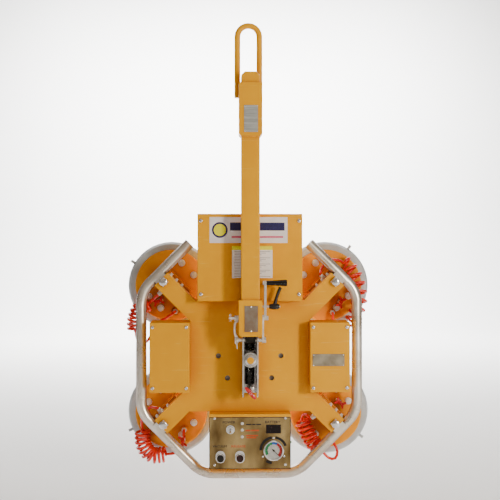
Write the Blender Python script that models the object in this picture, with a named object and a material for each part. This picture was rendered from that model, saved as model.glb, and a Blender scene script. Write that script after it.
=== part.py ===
# Battery vacuum lifter: a lifting beam with a bail, a tilt and swivel head, and a four-cup pad frame.
# Metres, +Z up, +X to the operator's right, -Y towards the operator; the cups face +Y.
# The origin is the crown of the bail, where the hoist hook bears.

import math

import bmesh
import bpy
from mathutils import Vector

GAP = 0.0003  # between faces that touch
SHAFT_CLEARANCE = 0.0003  # radial, between a shaft and its hole

# Bail and beam
BAIL_BAR_RADIUS = 0.008
BAIL_GAP_WIDTH = 0.044
BAIL_LEG_LENGTH = 0.189
BAIL_OFFSET = -0.0045
BEAM_SIZE = 0.050
BEAM_WALL = 0.003
BEAM_DROP = 0.1275
BEAM_LENGTH = 0.7065
BEAM_CHAMFER = 0.010
BEAM_CAP = 0.012
SLEEVE_WALL = 0.006
HEAD_SLEEVE_DROP = 0.031
HEAD_SLEEVE_LENGTH = 0.142
FOOT_SLEEVE_LENGTH = 0.0965
SLEEVE_CHAMFER = 0.006

# Tilt joint
EAR_RADIUS = 0.011
FOOT_CLEARANCE = 0.0005
TILT_PIN_RADIUS = 0.006
PIN_COLLAR_RADIUS = 0.009
PIN_COLLAR_WIDTH = 0.0055
TONGUE_WIDTH = 0.028
TONGUE_PLUG_LENGTH = 0.070
LINK_THICKNESS = 0.0046
LINK_EYE_RADIUS = 0.009

# Lock screw, crank and clamp lever
LOCK_RISE = 0.048
LOCK_OFFSET = 0.0117
LOCK_SCREW_RADIUS = 0.004
LOCK_SCREW_TAIL = 0.0145
LOCK_HEAD_RADIUS = 0.0065
LOCK_HEAD_LENGTH = 0.0052
LOCK_NUT_RADIUS = 0.008
LOCK_NUT_WIDTH = 0.006
CRANK_LENGTH = 0.094
CRANK_HALF_WIDTH = 0.0065
CRANK_THICKNESS = 0.006
GRIP_LENGTH = 0.051
GRIP_NECK_RADIUS = 0.0062
GRIP_END_RADIUS = 0.009
SPINDLE_RADIUS = 0.003
SPINDLE_HEAD_RADIUS = 0.006
SPINDLE_HEAD_LENGTH = 0.003
CLAMP_RISE = 0.0775
CLAMP_SETBACK = 0.0133
CLAMP_STUD_RADIUS = 0.004
CLAMP_STUD_LENGTH = 0.020
CLAMP_NECK_RADIUS = 0.0068
CLAMP_HUB_RADIUS = 0.0085
CLAMP_NOSE_RADIUS = 0.006
CLAMP_HUB_LENGTH = 0.028
CLAMP_ARM_RISE = 0.051
CLAMP_ARM_SPREAD = 0.016
CLAMP_ARM_RADIUS = 0.0042

# Swivel head
CHANNEL_WIDTH = 0.043
CHANNEL_WALL = 0.004
CHANNEL_WEB = 0.006
CHANNEL_DEPTH = 0.089
CHANNEL_DROP = 0.1545
SWIVEL_DROP = 0.0525
SWIVEL_BOLT_RADIUS = 0.010
SWIVEL_HEAD_RADIUS = 0.015
SWIVEL_HEAD_LENGTH = 0.010
SWIVEL_CROWN_RADIUS = 0.0105
SWIVEL_CROWN_HEIGHT = 0.005
SWIVEL_WASHER_RADIUS = 0.0205
SWIVEL_WASHER_THICKNESS = 0.004
SWIVEL_WASHER_CHAMFER = 0.001
SWIVEL_NUT_RADIUS = 0.016
SWIVEL_NUT_LENGTH = 0.014
PLUNGER_RADIUS = 0.007
PLUNGER_STEM_RADIUS = 0.0035
PLUNGER_PITCH_RADIUS = 0.087
PLUNGER_LENGTH = 0.110
PLUNGER_TRAVEL = 0.010
INDEX_HOLE_DEPTH = 0.014
INDEX_ANGLES = (-90, -45, 0, 45, 90)
RELEASE_BOSS_RADIUS = 0.008
RELEASE_REACH = 0.018
RELEASE_HALF_WIDTH = 0.004
RELEASE_THICKNESS = 0.007
RELEASE_ANGLE = math.radians(-48)

# Pad frame
FRAME_WIDTH = 0.330
FRAME_HEIGHT = 0.308
FRAME_DEPTH = 0.050
ARM_WIDTH = 0.050
ARM_WALL = 0.004
CUP_SPACING_X = 0.449
CUP_SPACING_Z = 0.367
CUP_RISE = 0.008
TAB_THICKNESS = 0.008
TAB_WIDTH = 0.036
TAB_INSET = 0.0125
POCKET_INSET = 0.0115
GUARD_BOLT_OFFSET = 0.0205
GUARD_BOLT_RADIUS = 0.005
GUARD_BOLT_HEAD = 0.020
GUARD_BOLT_HEAD_HEIGHT = 0.009
GUARD_NUT_RADIUS = 0.0085
GUARD_NUT_HEIGHT = 0.007

# Guard tube
GUARD_RADIUS = 0.015
GUARD_BORE_RADIUS = 0.0125
GUARD_BORE_DEPTH = 0.060
GUARD_WELD_SINK = 0.0025
GUARD_REACH = 0.046
GUARD_SIDE_CLEARANCE = 0.0137
GUARD_FOOT_CLEARANCE = 0.0127
GUARD_END_RISE = 0.1218
GUARD_BEND_RADIUS = 0.085
GUARD_END_CLEARANCE = 0.0005

# Cups
BRACKET_WIDTH = 0.062
BRACKET_LENGTH = 0.100
BRACKET_DEPTH = 0.0544
CUP_PLATE_RADIUS = 0.104
CUP_PLATE_THICKNESS = 0.006
PAD_RADIUS = 0.127
PAD_THICKNESS = 0.012
PAD_LIP_DEPTH = 0.028
PAD_LIP_WALL = 0.007
PORT_RADIUS = 0.010
PORT_HEIGHT = 0.006

# Boxes
BOX_CLEARANCE = 0.012
BOX_WALL = 0.002
LID_THICKNESS = 0.003
LID_BEVEL = 0.0012
UPPER_BOX_WIDTH = 0.287
UPPER_BOX_HEIGHT = 0.239
SIDE_BOX_WIDTH = 0.109
SIDE_BOX_HEIGHT = 0.191
CONTROL_BOX_WIDTH = 0.223
CONTROL_BOX_HEIGHT = 0.150
CONTROL_BOX_DEPTH = 0.075
BATTERY_SIZE = (0.181, 0.076, 0.167)
PUMP_SIZE = (0.080, 0.060, 0.070)
PUMP_MOTOR_RADIUS = 0.024
PUMP_MOTOR_LENGTH = 0.075
TANK_RADIUS = 0.036
TANK_LENGTH = 0.170

# Control panel, measured from the panel's top left corner
GAUGE_PLACE = (0.176, -0.099)
GAUGE_BEZEL_RADIUS = 0.028
GAUGE_BODY_RADIUS = 0.024
GAUGE_BEZEL_HEIGHT = 0.009
GAUGE_BEZEL_CHAMFER = 0.002
GAUGE_BODY_DEPTH = 0.030
GAUGE_DIAL_RADIUS = 0.0245
GAUGE_DIAL_DEPTH = 0.007
GAUGE_GLASS_THICKNESS = 0.0015
NEEDLE_LENGTH = 0.018
NEEDLE_TAIL = 0.006
NEEDLE_HALF_WIDTH = 0.0009
NEEDLE_THICKNESS = 0.0012
NEEDLE_HUB_RADIUS = 0.0028
NEEDLE_HUB_HEIGHT = 0.0018
NEEDLE_ANGLE = math.radians(-45)
BUTTON_DROP = -0.118
VACUUM_BUTTON_PLACE = 0.031
RELEASE_BUTTON_PLACE = 0.084
BUTTON_BARREL_RADIUS = 0.0125
BUTTON_BARREL_LENGTH = 0.014
BUTTON_THREAD_RADIUS = 0.011
BUTTON_THREAD_LENGTH = 0.022
BUTTON_CAP_RADIUS = 0.0095
BUTTON_CAP_LENGTH = 0.012
BUTTON_CAP_PROUD = 0.005
BUTTON_CHAMFER = 0.0012
TOGGLE_PLACE = (0.058, -0.0415)
TOGGLE_COLLAR_RADIUS = 0.012
TOGGLE_COLLAR_LENGTH = 0.009
TOGGLE_NUT_RADIUS = 0.0085
TOGGLE_NUT_LENGTH = 0.0045
TOGGLE_THREAD_RADIUS = 0.006
TOGGLE_THREAD_LENGTH = 0.020
TOGGLE_SOCKET_RADIUS = 0.0055
TOGGLE_SOCKET_DEPTH = 0.006
TOGGLE_BALL_RADIUS = 0.003
TOGGLE_BALL_STEPS = 5
TOGGLE_LEVER_LENGTH = 0.022
TOGGLE_NECK_RADIUS = 0.0015
TOGGLE_TIP_RADIUS = 0.003
TOGGLE_ANGLE = math.radians(12)
DISPLAY_PLACE = (0.176, -0.041)
DISPLAY_SIZE = (0.040, 0.023)
DISPLAY_PROUD = 0.002
DISPLAY_DEPTH = 0.012

# Vacuum hoses: coil radius, thin hose radius
COIL_RADIUS = 0.024
HOSE_RADIUS = 0.004
HOSE_STANDOFF = 0.027
HOSE_ARM_DEPTH = 0.035
HOSE_LEAD = 0.014
HOSE_ARM_ENDS = {"ul": (-1, 0.0064), "ur": (1, 0.0064), "ll": (-1, 0.0064), "lr": (1, -0.030)}

# Ports and the hoses' points, measured from each cup's centre
PORT_PLACES = {"ul": (0.0125, -0.0745), "ur": (0.0175, -0.0785), "ll": (0.0375, -0.0495), "lr": (0.018, -0.083)}
COIL_PATHS = {
    "ul": [(-0.062, -0.049), (-0.088, -0.064), (-0.1015, -0.096), (-0.100, -0.130)],
    "ur": [(0.042, 0.070), (0.066, 0.049), (0.087, 0.012), (0.094, -0.035), (0.084, -0.078), (0.063, -0.120)],
    "ll": [(-0.080, -0.045), (-0.077, -0.088), (-0.053, -0.117), (-0.012, -0.115)],
    "lr": [(-0.072, -0.015), (-0.060, -0.047), (-0.042, -0.082), (-0.012, -0.112)],
}
PORT_LOOPS = {
    "ul": [(-0.094, -0.154), (-0.076, -0.165), (-0.058, -0.145), (-0.045, -0.112), (-0.015, -0.093)],
    "ur": [(0.053, -0.140), (0.034, -0.140), (0.020, -0.115)],
    "ll": [(0.014, -0.111), (0.034, -0.090)],
    "lr": [(0.006, -0.129), (0.024, -0.130), (0.030, -0.108)],
}
ARM_LOOPS = {
    "ul": [(-0.0445, -0.034)],
    "ur": [(-0.0165, 0.0525), (0.0045, 0.0745)],
    "ll": [(-0.058, 0.022), (-0.080, -0.008)],
    "lr": [(-0.066, 0.002)],
}

DISC_SIDES = 40
ROUND_SIDES = 28
SMALL_SIDES = 16
TUBE_SIDES = 12
ARC_STEPS = 5

# Places worked out from the sizes above
beam_y = -(BEAM_SIZE / 2 + BAIL_BAR_RADIUS + GAP)
beam_front = beam_y - BEAM_SIZE / 2
beam_back = beam_y + BEAM_SIZE / 2
beam_top = -BEAM_DROP
beam_bottom = beam_top - BEAM_LENGTH
sleeve_inner = BEAM_SIZE / 2 + GAP
sleeve_outer = sleeve_inner + SLEEVE_WALL
tilt_z = beam_bottom - FOOT_CLEARANCE - EAR_RADIUS
lock_y = beam_y - LOCK_OFFSET
lock_z = beam_bottom + LOCK_RISE
link_inner = sleeve_outer + GAP
link_outer = link_inner + LINK_THICKNESS
crank_inner = link_outer + GAP
crank_outer = crank_inner + CRANK_THICKNESS
grip_z = lock_z + CRANK_LENGTH
clamp_y = beam_y + CLAMP_SETBACK
clamp_z = beam_bottom + CLAMP_RISE

channel_front = beam_y - EAR_RADIUS
frame_front = channel_front + CHANNEL_DEPTH + GAP
frame_back = frame_front + FRAME_DEPTH
web_back = frame_front - GAP
web_front = web_back - CHANNEL_WEB
channel_bottom = tilt_z - CHANNEL_DROP
swivel_z = tilt_z - SWIVEL_DROP
plunger_z = swivel_z - PLUNGER_PITCH_RADIUS
box_front = beam_back + BOX_CLEARANCE
frame_top = swivel_z + FRAME_HEIGHT / 2
frame_bottom = swivel_z - FRAME_HEIGHT / 2
cup_x = CUP_SPACING_X / 2
cup_mid_z = swivel_z + CUP_RISE
arm_tip = GUARD_REACH - GUARD_RADIUS - GUARD_END_CLEARANCE
pocket_front = frame_front + ARM_WALL
pocket_back = frame_back - ARM_WALL
tab_front = pocket_front + GAP
tab_back = tab_front + TAB_THICKNESS
guard_y = tab_back + GUARD_RADIUS - GUARD_WELD_SINK
guard_half_width = FRAME_WIDTH / 2 + GAP + SIDE_BOX_WIDTH + GUARD_SIDE_CLEARANCE + GUARD_RADIUS
guard_top = cup_mid_z + CUP_SPACING_Z / 2 + GUARD_END_RISE
guard_bottom = frame_bottom - GAP - CONTROL_BOX_HEIGHT - GUARD_FOOT_CLEARANCE - GUARD_RADIUS
bracket_front = frame_back + GAP
plate_front = bracket_front + BRACKET_DEPTH
plate_back = plate_front + CUP_PLATE_THICKNESS
pad_front = plate_back + GAP
coil_y = frame_back + HOSE_STANDOFF
panel_left = -CONTROL_BOX_WIDTH / 2
panel_top = frame_bottom - GAP
panel_back = box_front + LID_THICKNESS

CORNERS = {"ul": (-1, 1), "ur": (1, 1), "ll": (-1, -1), "lr": (1, -1)}


def finish(name, colour, roughness, metallic):
    """A plain Principled material."""
    made = bpy.data.materials.new(name)
    made.use_nodes = True
    shader = made.node_tree.nodes["Principled BSDF"]
    shader.inputs["Base Color"].default_value = (*colour, 1.0)
    shader.inputs["Roughness"].default_value = roughness
    shader.inputs["Metallic"].default_value = metallic
    return made


def add_object(name, mesh_data, surface, smooth=True):
    shape = bpy.data.objects.new(name, mesh_data)
    bpy.context.scene.collection.objects.link(shape)
    if surface:
        shape.data.materials.append(surface)
    if smooth:
        shape.data.shade_smooth()
        shape.data.set_sharp_from_angle(angle=math.radians(35))
    return shape


def mesh_from(name, points, faces):
    """A mesh with its faces turned outwards."""
    builder = bmesh.new()
    corners = [builder.verts.new(point) for point in points]
    for face in faces:
        builder.faces.new([corners[index] for index in face])
    bmesh.ops.recalc_face_normals(builder, faces=builder.faces)
    made = bpy.data.meshes.new(name)
    builder.to_mesh(made)
    builder.free()
    return made


def placed(axis, first, second, along):
    """A point from two section coordinates and one along the axis."""
    if axis == "X":
        return (along, first, second)
    if axis == "Y":
        return (first, along, second)
    return (first, second, along)


def prism(name, outline, axis, start, end, surface):
    """An outline of section coordinates, extruded along the axis."""
    count = len(outline)
    points = [placed(axis, first, second, start) for first, second in outline]
    points += [placed(axis, first, second, end) for first, second in outline]
    faces = [list(range(count)), list(range(count, 2 * count))]
    for index in range(count):
        after = (index + 1) % count
        faces.append([index, after, after + count, index + count])
    return add_object(name, mesh_from(name, points, faces), surface)


def block(name, low, high, surface):
    outline = [(low[0], low[1]), (high[0], low[1]), (high[0], high[1]), (low[0], high[1])]
    return prism(name, outline, "Z", low[2], high[2], surface)


def turned(name, profile, centre, axis, surface, sides=ROUND_SIDES):
    """A profile of (radius, along) points turned about the axis, closed at its two ends on that axis."""
    rings = [point for point in profile if point[0] > 0]
    first, second = centre
    points = [placed(axis, first, second, profile[0][1]), placed(axis, first, second, profile[-1][1])]
    for radius, along in rings:
        for side in range(sides):
            angle = math.tau * side / sides
            points.append(
                placed(axis, first + radius * math.cos(angle), second + radius * math.sin(angle), along)
            )
    faces = []
    last = 2 + (len(rings) - 1) * sides
    for side in range(sides):
        after = (side + 1) % sides
        faces.append([0, 2 + side, 2 + after])
        faces.append([1, last + side, last + after])
        for ring in range(len(rings) - 1):
            low = 2 + ring * sides
            faces.append([low + side, low + after, low + sides + after, low + sides + side])
    return add_object(name, mesh_from(name, points, faces), surface)


def rod(name, centre, axis, start, end, radius, surface, sides=SMALL_SIDES):
    profile = [(0, start), (radius, start), (radius, end), (0, end)]
    return turned(name, profile, centre, axis, surface, sides)


def swept(name, path, radius, surface, sides=TUBE_SIDES):
    """A round bar along a path that lies in a plane of constant Y."""
    points = []
    count = len(path)
    across = Vector((0, 1, 0))
    for index, point in enumerate(path):
        before = (point - path[index - 1]).normalized() if index else None
        ahead = (path[index + 1] - point).normalized() if index < count - 1 else None
        heading = ((before or ahead) + (ahead or before)).normalized()
        side_way = heading.cross(across)
        stretch = 1 / side_way.dot((ahead or before).cross(across))
        for side in range(sides):
            angle = math.tau * side / sides
            offset = across * math.sin(angle) + side_way * (stretch * math.cos(angle))
            points.append(point + offset * radius)
    faces = [list(range(sides)), list(range((count - 1) * sides, count * sides))]
    for ring in range(count - 1):
        for side in range(sides):
            after = (side + 1) % sides
            low = ring * sides
            faces.append([low + side, low + after, low + sides + after, low + sides + side])
    return add_object(name, mesh_from(name, points, faces), surface)


def rounded(corners, radius, steps=ARC_STEPS):
    """The path through the corners, each bend an arc of the given radius."""
    path = [Vector(corners[0])]
    for before, corner, after in zip(corners, corners[1:], corners[2:]):
        corner = Vector(corner)
        back = (Vector(before) - corner).normalized()
        ahead = (Vector(after) - corner).normalized()
        half = back.angle(ahead) / 2
        reach = radius / math.tan(half)
        centre = corner + (back + ahead).normalized() * (radius / math.sin(half))
        start = corner + back * reach - centre
        end = corner + ahead * reach - centre
        sweep = start.angle(end)
        for step in range(steps + 1):
            turn = sweep * step / steps
            path.append(centre + (start * math.sin(sweep - turn) + end * math.sin(turn)) / math.sin(sweep))
    path.append(Vector(corners[-1]))
    return path


def cutter(shape):
    shape.hide_render = True
    shape.display_type = "WIRE"
    return shape


def boolean(shape, other, operation):
    modifier = shape.modifiers.new(other.name, "BOOLEAN")
    modifier.operation = operation
    modifier.solver = "EXACT"
    modifier.object = cutter(other)


def cut(shape, other):
    boolean(shape, other, "DIFFERENCE")


def weld(shape, other):
    boolean(shape, other, "UNION")


def bevel(shape, width, segments=2):
    modifier = shape.modifiers.new("edges", "BEVEL")
    modifier.width = width
    modifier.segments = segments
    modifier.limit_method = "ANGLE"


def arc(centre, radius, start, end, steps=ARC_STEPS):
    """Points on an arc, angles in degrees."""
    points = []
    for step in range(steps + 1):
        angle = math.radians(start + (end - start) * step / steps)
        points.append((centre[0] + radius * math.cos(angle), centre[1] + radius * math.sin(angle)))
    return points


def stadium(first, second, radius):
    """The outline of a bar with round ends about two centres."""
    heading = math.degrees(math.atan2(second[1] - first[1], second[0] - first[0]))
    return arc(second, radius, heading - 90, heading + 90) + arc(first, radius, heading + 90, heading + 270)


def rectangle(left, right, bottom, top):
    return [(left, bottom), (right, bottom), (right, top), (left, top)]


def clipped(outline, normal, limit):
    """The part of a convex outline where the point's dot product with the normal stays under the limit."""
    kept = []
    for index, point in enumerate(outline):
        after = outline[(index + 1) % len(outline)]
        here = point[0] * normal[0] + point[1] * normal[1] - limit
        there = after[0] * normal[0] + after[1] * normal[1] - limit
        if here <= 0:
            kept.append(point)
        if (here < 0) != (there < 0):
            share = here / (here - there)
            kept.append((point[0] + share * (after[0] - point[0]), point[1] + share * (after[1] - point[1])))
    return kept


def inset(outline, distance):
    """A convex outline moved inwards on every side."""
    made = list(outline)
    middle = Vector((sum(p[0] for p in outline), sum(p[1] for p in outline))) / len(outline)
    for index, point in enumerate(outline):
        after = outline[(index + 1) % len(outline)]
        normal = Vector((after[1] - point[1], point[0] - after[0])).normalized()
        if normal.dot(Vector(point) - middle) < 0:
            normal.negate()
        made = clipped(made, normal, normal.dot(Vector(point)) - distance)
    return made


yellow = finish("yellow_paint", (0.90, 0.50, 0.03), 0.42, 0.0)
zinc = finish("zinc_plated_steel", (0.62, 0.62, 0.60), 0.38, 1.0)
tube_steel = finish("galvanised_tube", (0.66, 0.60, 0.50), 0.35, 1.0)
black_steel = finish("blackened_steel", (0.03, 0.03, 0.03), 0.5, 0.6)
black_plastic = finish("black_plastic", (0.02, 0.02, 0.02), 0.4, 0.0)
red_plastic = finish("red_plastic", (0.75, 0.02, 0.02), 0.35, 0.0)
red_hose = finish("red_polyurethane", (0.80, 0.05, 0.02), 0.3, 0.0)
grey_rubber = finish("grey_rubber", (0.42, 0.42, 0.42), 0.7, 0.0)
panel_steel = finish("brushed_panel", (0.45, 0.36, 0.20), 0.35, 1.0)
dark_window = finish("dark_window", (0.02, 0.01, 0.01), 0.15, 0.0)
clear_glass = finish("gauge_glass", (0.9, 0.9, 0.9), 0.05, 0.0)
white_case = finish("gauge_dial", (0.85, 0.85, 0.85), 0.4, 0.0)
battery_black = finish("battery_case", (0.04, 0.04, 0.05), 0.5, 0.0)


def make_bail():
    half = BAIL_GAP_WIDTH / 2 + BAIL_BAR_RADIUS
    crown = BAIL_BAR_RADIUS
    left, right = BAIL_OFFSET - half, BAIL_OFFSET + half
    path = [Vector((left, 0, -BAIL_LEG_LENGTH))]
    for along, up in arc((BAIL_OFFSET, crown - half), half, 180, 0, 2 * ARC_STEPS):
        path.append(Vector((along, 0, up)))
    path.append(Vector((right, 0, -BAIL_LEG_LENGTH)))
    swept("bail", path, BAIL_BAR_RADIUS, yellow)


def lock_screw_hole(name):
    radius = LOCK_SCREW_RADIUS + SHAFT_CLEARANCE
    return rod(name, (lock_y, lock_z), "X", -BEAM_SIZE, BEAM_SIZE, radius, None)


def tilt_pin_hole(name):
    radius = TILT_PIN_RADIUS + SHAFT_CLEARANCE
    return rod(name, (beam_y, tilt_z), "X", -BEAM_SIZE, BEAM_SIZE, radius, None)


def make_beam():
    half = BEAM_SIZE / 2
    outline = rectangle(-half, half, beam_bottom, beam_top - BEAM_CHAMFER)[:3]
    outline += [(half - BEAM_CHAMFER, beam_top), (BEAM_CHAMFER - half, beam_top), (-half, beam_top - BEAM_CHAMFER)]
    beam = prism("lifting_beam", outline, "Y", beam_front, beam_back, yellow)
    inner = half - BEAM_WALL
    low = (-inner, beam_y - inner, beam_bottom - BEAM_CAP)
    high = (inner, beam_y + inner, beam_top - BEAM_CHAMFER - BEAM_CAP)
    cut(beam, block("beam_bore", low, high, None))
    cut(beam, lock_screw_hole("beam_screw_hole"))


def make_sleeve(name, top, bottom):
    """A U-shaped doubler round the front and sides of the beam, its lower corners cut off."""
    back = beam_back
    front = beam_front - GAP - SLEEVE_WALL
    outline = [(-sleeve_outer, back), (-sleeve_outer, front), (sleeve_outer, front), (sleeve_outer, back)]
    outline += [(sleeve_inner, back), (sleeve_inner, beam_front - GAP)]
    outline += [(-sleeve_inner, beam_front - GAP), (-sleeve_inner, back)]
    sleeve = prism(name, outline, "Z", bottom, top, yellow)
    for side in (-1, 1):
        edge = side * (sleeve_outer + GAP)
        inner = side * (sleeve_outer - SLEEVE_CHAMFER)
        wedge = [(edge, bottom - GAP), (inner, bottom - GAP), (edge, bottom + SLEEVE_CHAMFER)]
        start, end = front - SLEEVE_WALL, back + SLEEVE_WALL
        cut(sleeve, prism(name + "_wedge" + str(side), wedge, "Y", start, end, None))
    return sleeve


def make_sleeves():
    head_top = beam_top - HEAD_SLEEVE_DROP
    make_sleeve("head_sleeve", head_top, head_top - HEAD_SLEEVE_LENGTH)
    foot = make_sleeve("foot_sleeve", beam_bottom + FOOT_SLEEVE_LENGTH, beam_bottom)
    cut(foot, lock_screw_hole("foot_screw_hole"))


def make_tongue():
    """The plug in the beam's foot, with the round lug that the tilt pin passes through."""
    half = TONGUE_WIDTH / 2
    lug_top = beam_bottom + EAR_RADIUS
    outline = [(beam_y + EAR_RADIUS, lug_top), (beam_y - EAR_RADIUS, lug_top)]
    outline += arc((beam_y, tilt_z), EAR_RADIUS, 180, 360)
    tongue = prism("beam_tongue", outline, "X", -half, half, black_steel)
    plug = BEAM_SIZE / 2 - BEAM_WALL - GAP
    low = (-plug, beam_y - plug, beam_bottom)
    high = (plug, beam_y + plug, beam_bottom + TONGUE_PLUG_LENGTH)
    weld(tongue, block("tongue_plug", low, high, None))
    cut(tongue, tilt_pin_hole("tongue_pin_hole"))
    cut(tongue, lock_screw_hole("tongue_screw_hole"))


def make_tilt_pin():
    collar = crank_inner + PIN_COLLAR_WIDTH
    profile = [(0, -collar), (TILT_PIN_RADIUS, -collar), (TILT_PIN_RADIUS, crank_inner)]
    profile += [(PIN_COLLAR_RADIUS, crank_inner), (PIN_COLLAR_RADIUS, collar), (0, collar)]
    turned("tilt_pin", profile, (beam_y, tilt_z), "X", zinc, SMALL_SIDES)
    ring = rod("tilt_pin_collar", (beam_y, tilt_z), "X", -collar, -crank_inner, PIN_COLLAR_RADIUS, zinc)
    cut(ring, tilt_pin_hole("collar_bore"))


def make_links():
    """The two safety links that tie the tilt pin to the lock screw, one on each side of the foot."""
    for name, side in (("safety_link_left", -1), ("safety_link_right", 1)):
        outline = stadium((lock_y, lock_z), (beam_y, tilt_z), LINK_EYE_RADIUS)
        link = prism(name, outline, "X", side * link_inner, side * link_outer, zinc)
        cut(link, tilt_pin_hole(name + "_pin_hole"))
        cut(link, lock_screw_hole(name + "_screw_hole"))


def make_lock_screw():
    tail = -(crank_inner + LOCK_NUT_WIDTH + LOCK_SCREW_TAIL)
    head = crank_outer + GAP
    profile = [(0, tail), (LOCK_SCREW_RADIUS, tail), (LOCK_SCREW_RADIUS, head)]
    profile += [(LOCK_HEAD_RADIUS, head), (LOCK_HEAD_RADIUS, head + LOCK_HEAD_LENGTH), (0, head + LOCK_HEAD_LENGTH)]
    turned("lock_screw", profile, (lock_y, lock_z), "X", zinc, SMALL_SIDES)
    outer = -(crank_inner + LOCK_NUT_WIDTH)
    nut = rod("lock_nut", (lock_y, lock_z), "X", outer, -crank_inner, LOCK_NUT_RADIUS, zinc, 6)
    cut(nut, lock_screw_hole("lock_nut_bore"))


def make_crank():
    outline = stadium((lock_y, lock_z), (lock_y, grip_z), CRANK_HALF_WIDTH)
    arm = prism("crank_arm", outline, "X", crank_inner, crank_outer, zinc)
    cut(arm, lock_screw_hole("crank_screw_hole"))
    bore = SPINDLE_RADIUS + SHAFT_CLEARANCE
    cut(arm, rod("crank_spindle_hole", (lock_y, grip_z), "X", 0, BEAM_SIZE, bore, None))
    start = crank_outer + GAP
    end = start + GRIP_LENGTH
    head = crank_inner - GAP
    tip = end + GAP + SPINDLE_HEAD_LENGTH
    profile = [(0, head - SPINDLE_HEAD_LENGTH), (SPINDLE_HEAD_RADIUS, head - SPINDLE_HEAD_LENGTH)]
    profile += [(SPINDLE_HEAD_RADIUS, head), (SPINDLE_RADIUS, head), (SPINDLE_RADIUS, end + GAP)]
    profile += [(SPINDLE_HEAD_RADIUS, end + GAP), (SPINDLE_HEAD_RADIUS, tip), (0, tip)]
    turned("grip_spindle", profile, (lock_y, grip_z), "X", zinc, SMALL_SIDES)
    profile = [(0, start), (GRIP_NECK_RADIUS, start), (GRIP_END_RADIUS, end - GRIP_END_RADIUS)]
    profile += [(GRIP_END_RADIUS, end), (0, end)]
    grip = turned("crank_grip", profile, (lock_y, grip_z), "X", black_plastic, SMALL_SIDES)
    cut(grip, rod("grip_bore", (lock_y, grip_z), "X", 0, end + BEAM_SIZE, bore, None))


def make_clamp_lever():
    start = sleeve_outer + GAP
    neck = start + CLAMP_STUD_LENGTH
    end = neck + CLAMP_HUB_LENGTH
    waist = (neck + end) / 2
    profile = [(0, start), (CLAMP_STUD_RADIUS, start), (CLAMP_STUD_RADIUS, neck), (CLAMP_NECK_RADIUS, neck)]
    profile += [(CLAMP_HUB_RADIUS, waist), (CLAMP_NOSE_RADIUS, end), (0, end)]
    lever = turned("clamp_lever", profile, (clamp_y, clamp_z), "X", black_plastic, SMALL_SIDES)
    foot = Vector((waist, clamp_y, clamp_z))
    tip = foot + Vector((CLAMP_ARM_SPREAD, 0, CLAMP_ARM_RISE))
    weld(lever, swept("clamp_arm", [foot, tip], CLAMP_ARM_RADIUS, None, TUBE_SIDES))


def make_channel():
    """The U-shaped swivel head: two flanges with round ears for the tilt pin, and a web on the frame."""
    top = tilt_z + EAR_RADIUS
    outline = [(web_back, channel_bottom), (web_back, top)] + arc((beam_y, tilt_z), EAR_RADIUS, 90, 180)
    outline += [(channel_front, channel_bottom + EAR_RADIUS), (channel_front + EAR_RADIUS, channel_bottom)]
    half = CHANNEL_WIDTH / 2
    channel = prism("swivel_channel", outline, "X", -half, half, zinc)
    inner = half - CHANNEL_WALL
    low = (-inner, channel_front - EAR_RADIUS, channel_bottom - EAR_RADIUS)
    cut(channel, block("channel_mouth", low, (inner, web_front, top + EAR_RADIUS), None))
    cut(channel, tilt_pin_hole("channel_pin_hole"))
    bore = SWIVEL_BOLT_RADIUS + SHAFT_CLEARANCE
    cut(channel, rod("channel_bolt_hole", (0, swivel_z), "Y", 0, frame_back, bore, None))
    bore = PLUNGER_RADIUS + SHAFT_CLEARANCE
    cut(channel, rod("channel_plunger_hole", (0, plunger_z), "Y", 0, frame_back, bore, None))


def make_swivel_bolt():
    """The centre bolt; its washer bears on the front edges of the channel's flanges."""
    seat = channel_front - GAP
    face = seat - SWIVEL_WASHER_THICKNESS
    rim = SWIVEL_WASHER_RADIUS - SWIVEL_WASHER_CHAMFER
    profile = [(0, face), (rim, face), (SWIVEL_WASHER_RADIUS, face + SWIVEL_WASHER_CHAMFER)]
    profile += [(SWIVEL_WASHER_RADIUS, seat), (0, seat)]
    washer = turned("swivel_washer", profile, (0, swivel_z), "Y", zinc)
    bore = SWIVEL_BOLT_RADIUS + SHAFT_CLEARANCE
    cut(washer, rod("washer_bore", (0, swivel_z), "Y", -frame_back, frame_back, bore, None))
    under_head = face - GAP
    head = under_head - SWIVEL_HEAD_LENGTH
    nut = frame_back + GAP
    tip = nut + SWIVEL_NUT_LENGTH
    profile = [(0, head), (SWIVEL_CROWN_RADIUS, head), (SWIVEL_HEAD_RADIUS, head + SWIVEL_CROWN_HEIGHT)]
    profile += [(SWIVEL_HEAD_RADIUS, under_head), (SWIVEL_BOLT_RADIUS, under_head), (SWIVEL_BOLT_RADIUS, tip), (0, tip)]
    turned("swivel_bolt", profile, (0, swivel_z), "Y", zinc, SMALL_SIDES)
    ring = rod("swivel_nut", (0, swivel_z), "Y", nut, tip, SWIVEL_NUT_RADIUS, zinc, 6)
    cut(ring, rod("nut_bore", (0, swivel_z), "Y", 0, tip + frame_back, bore, None))


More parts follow.
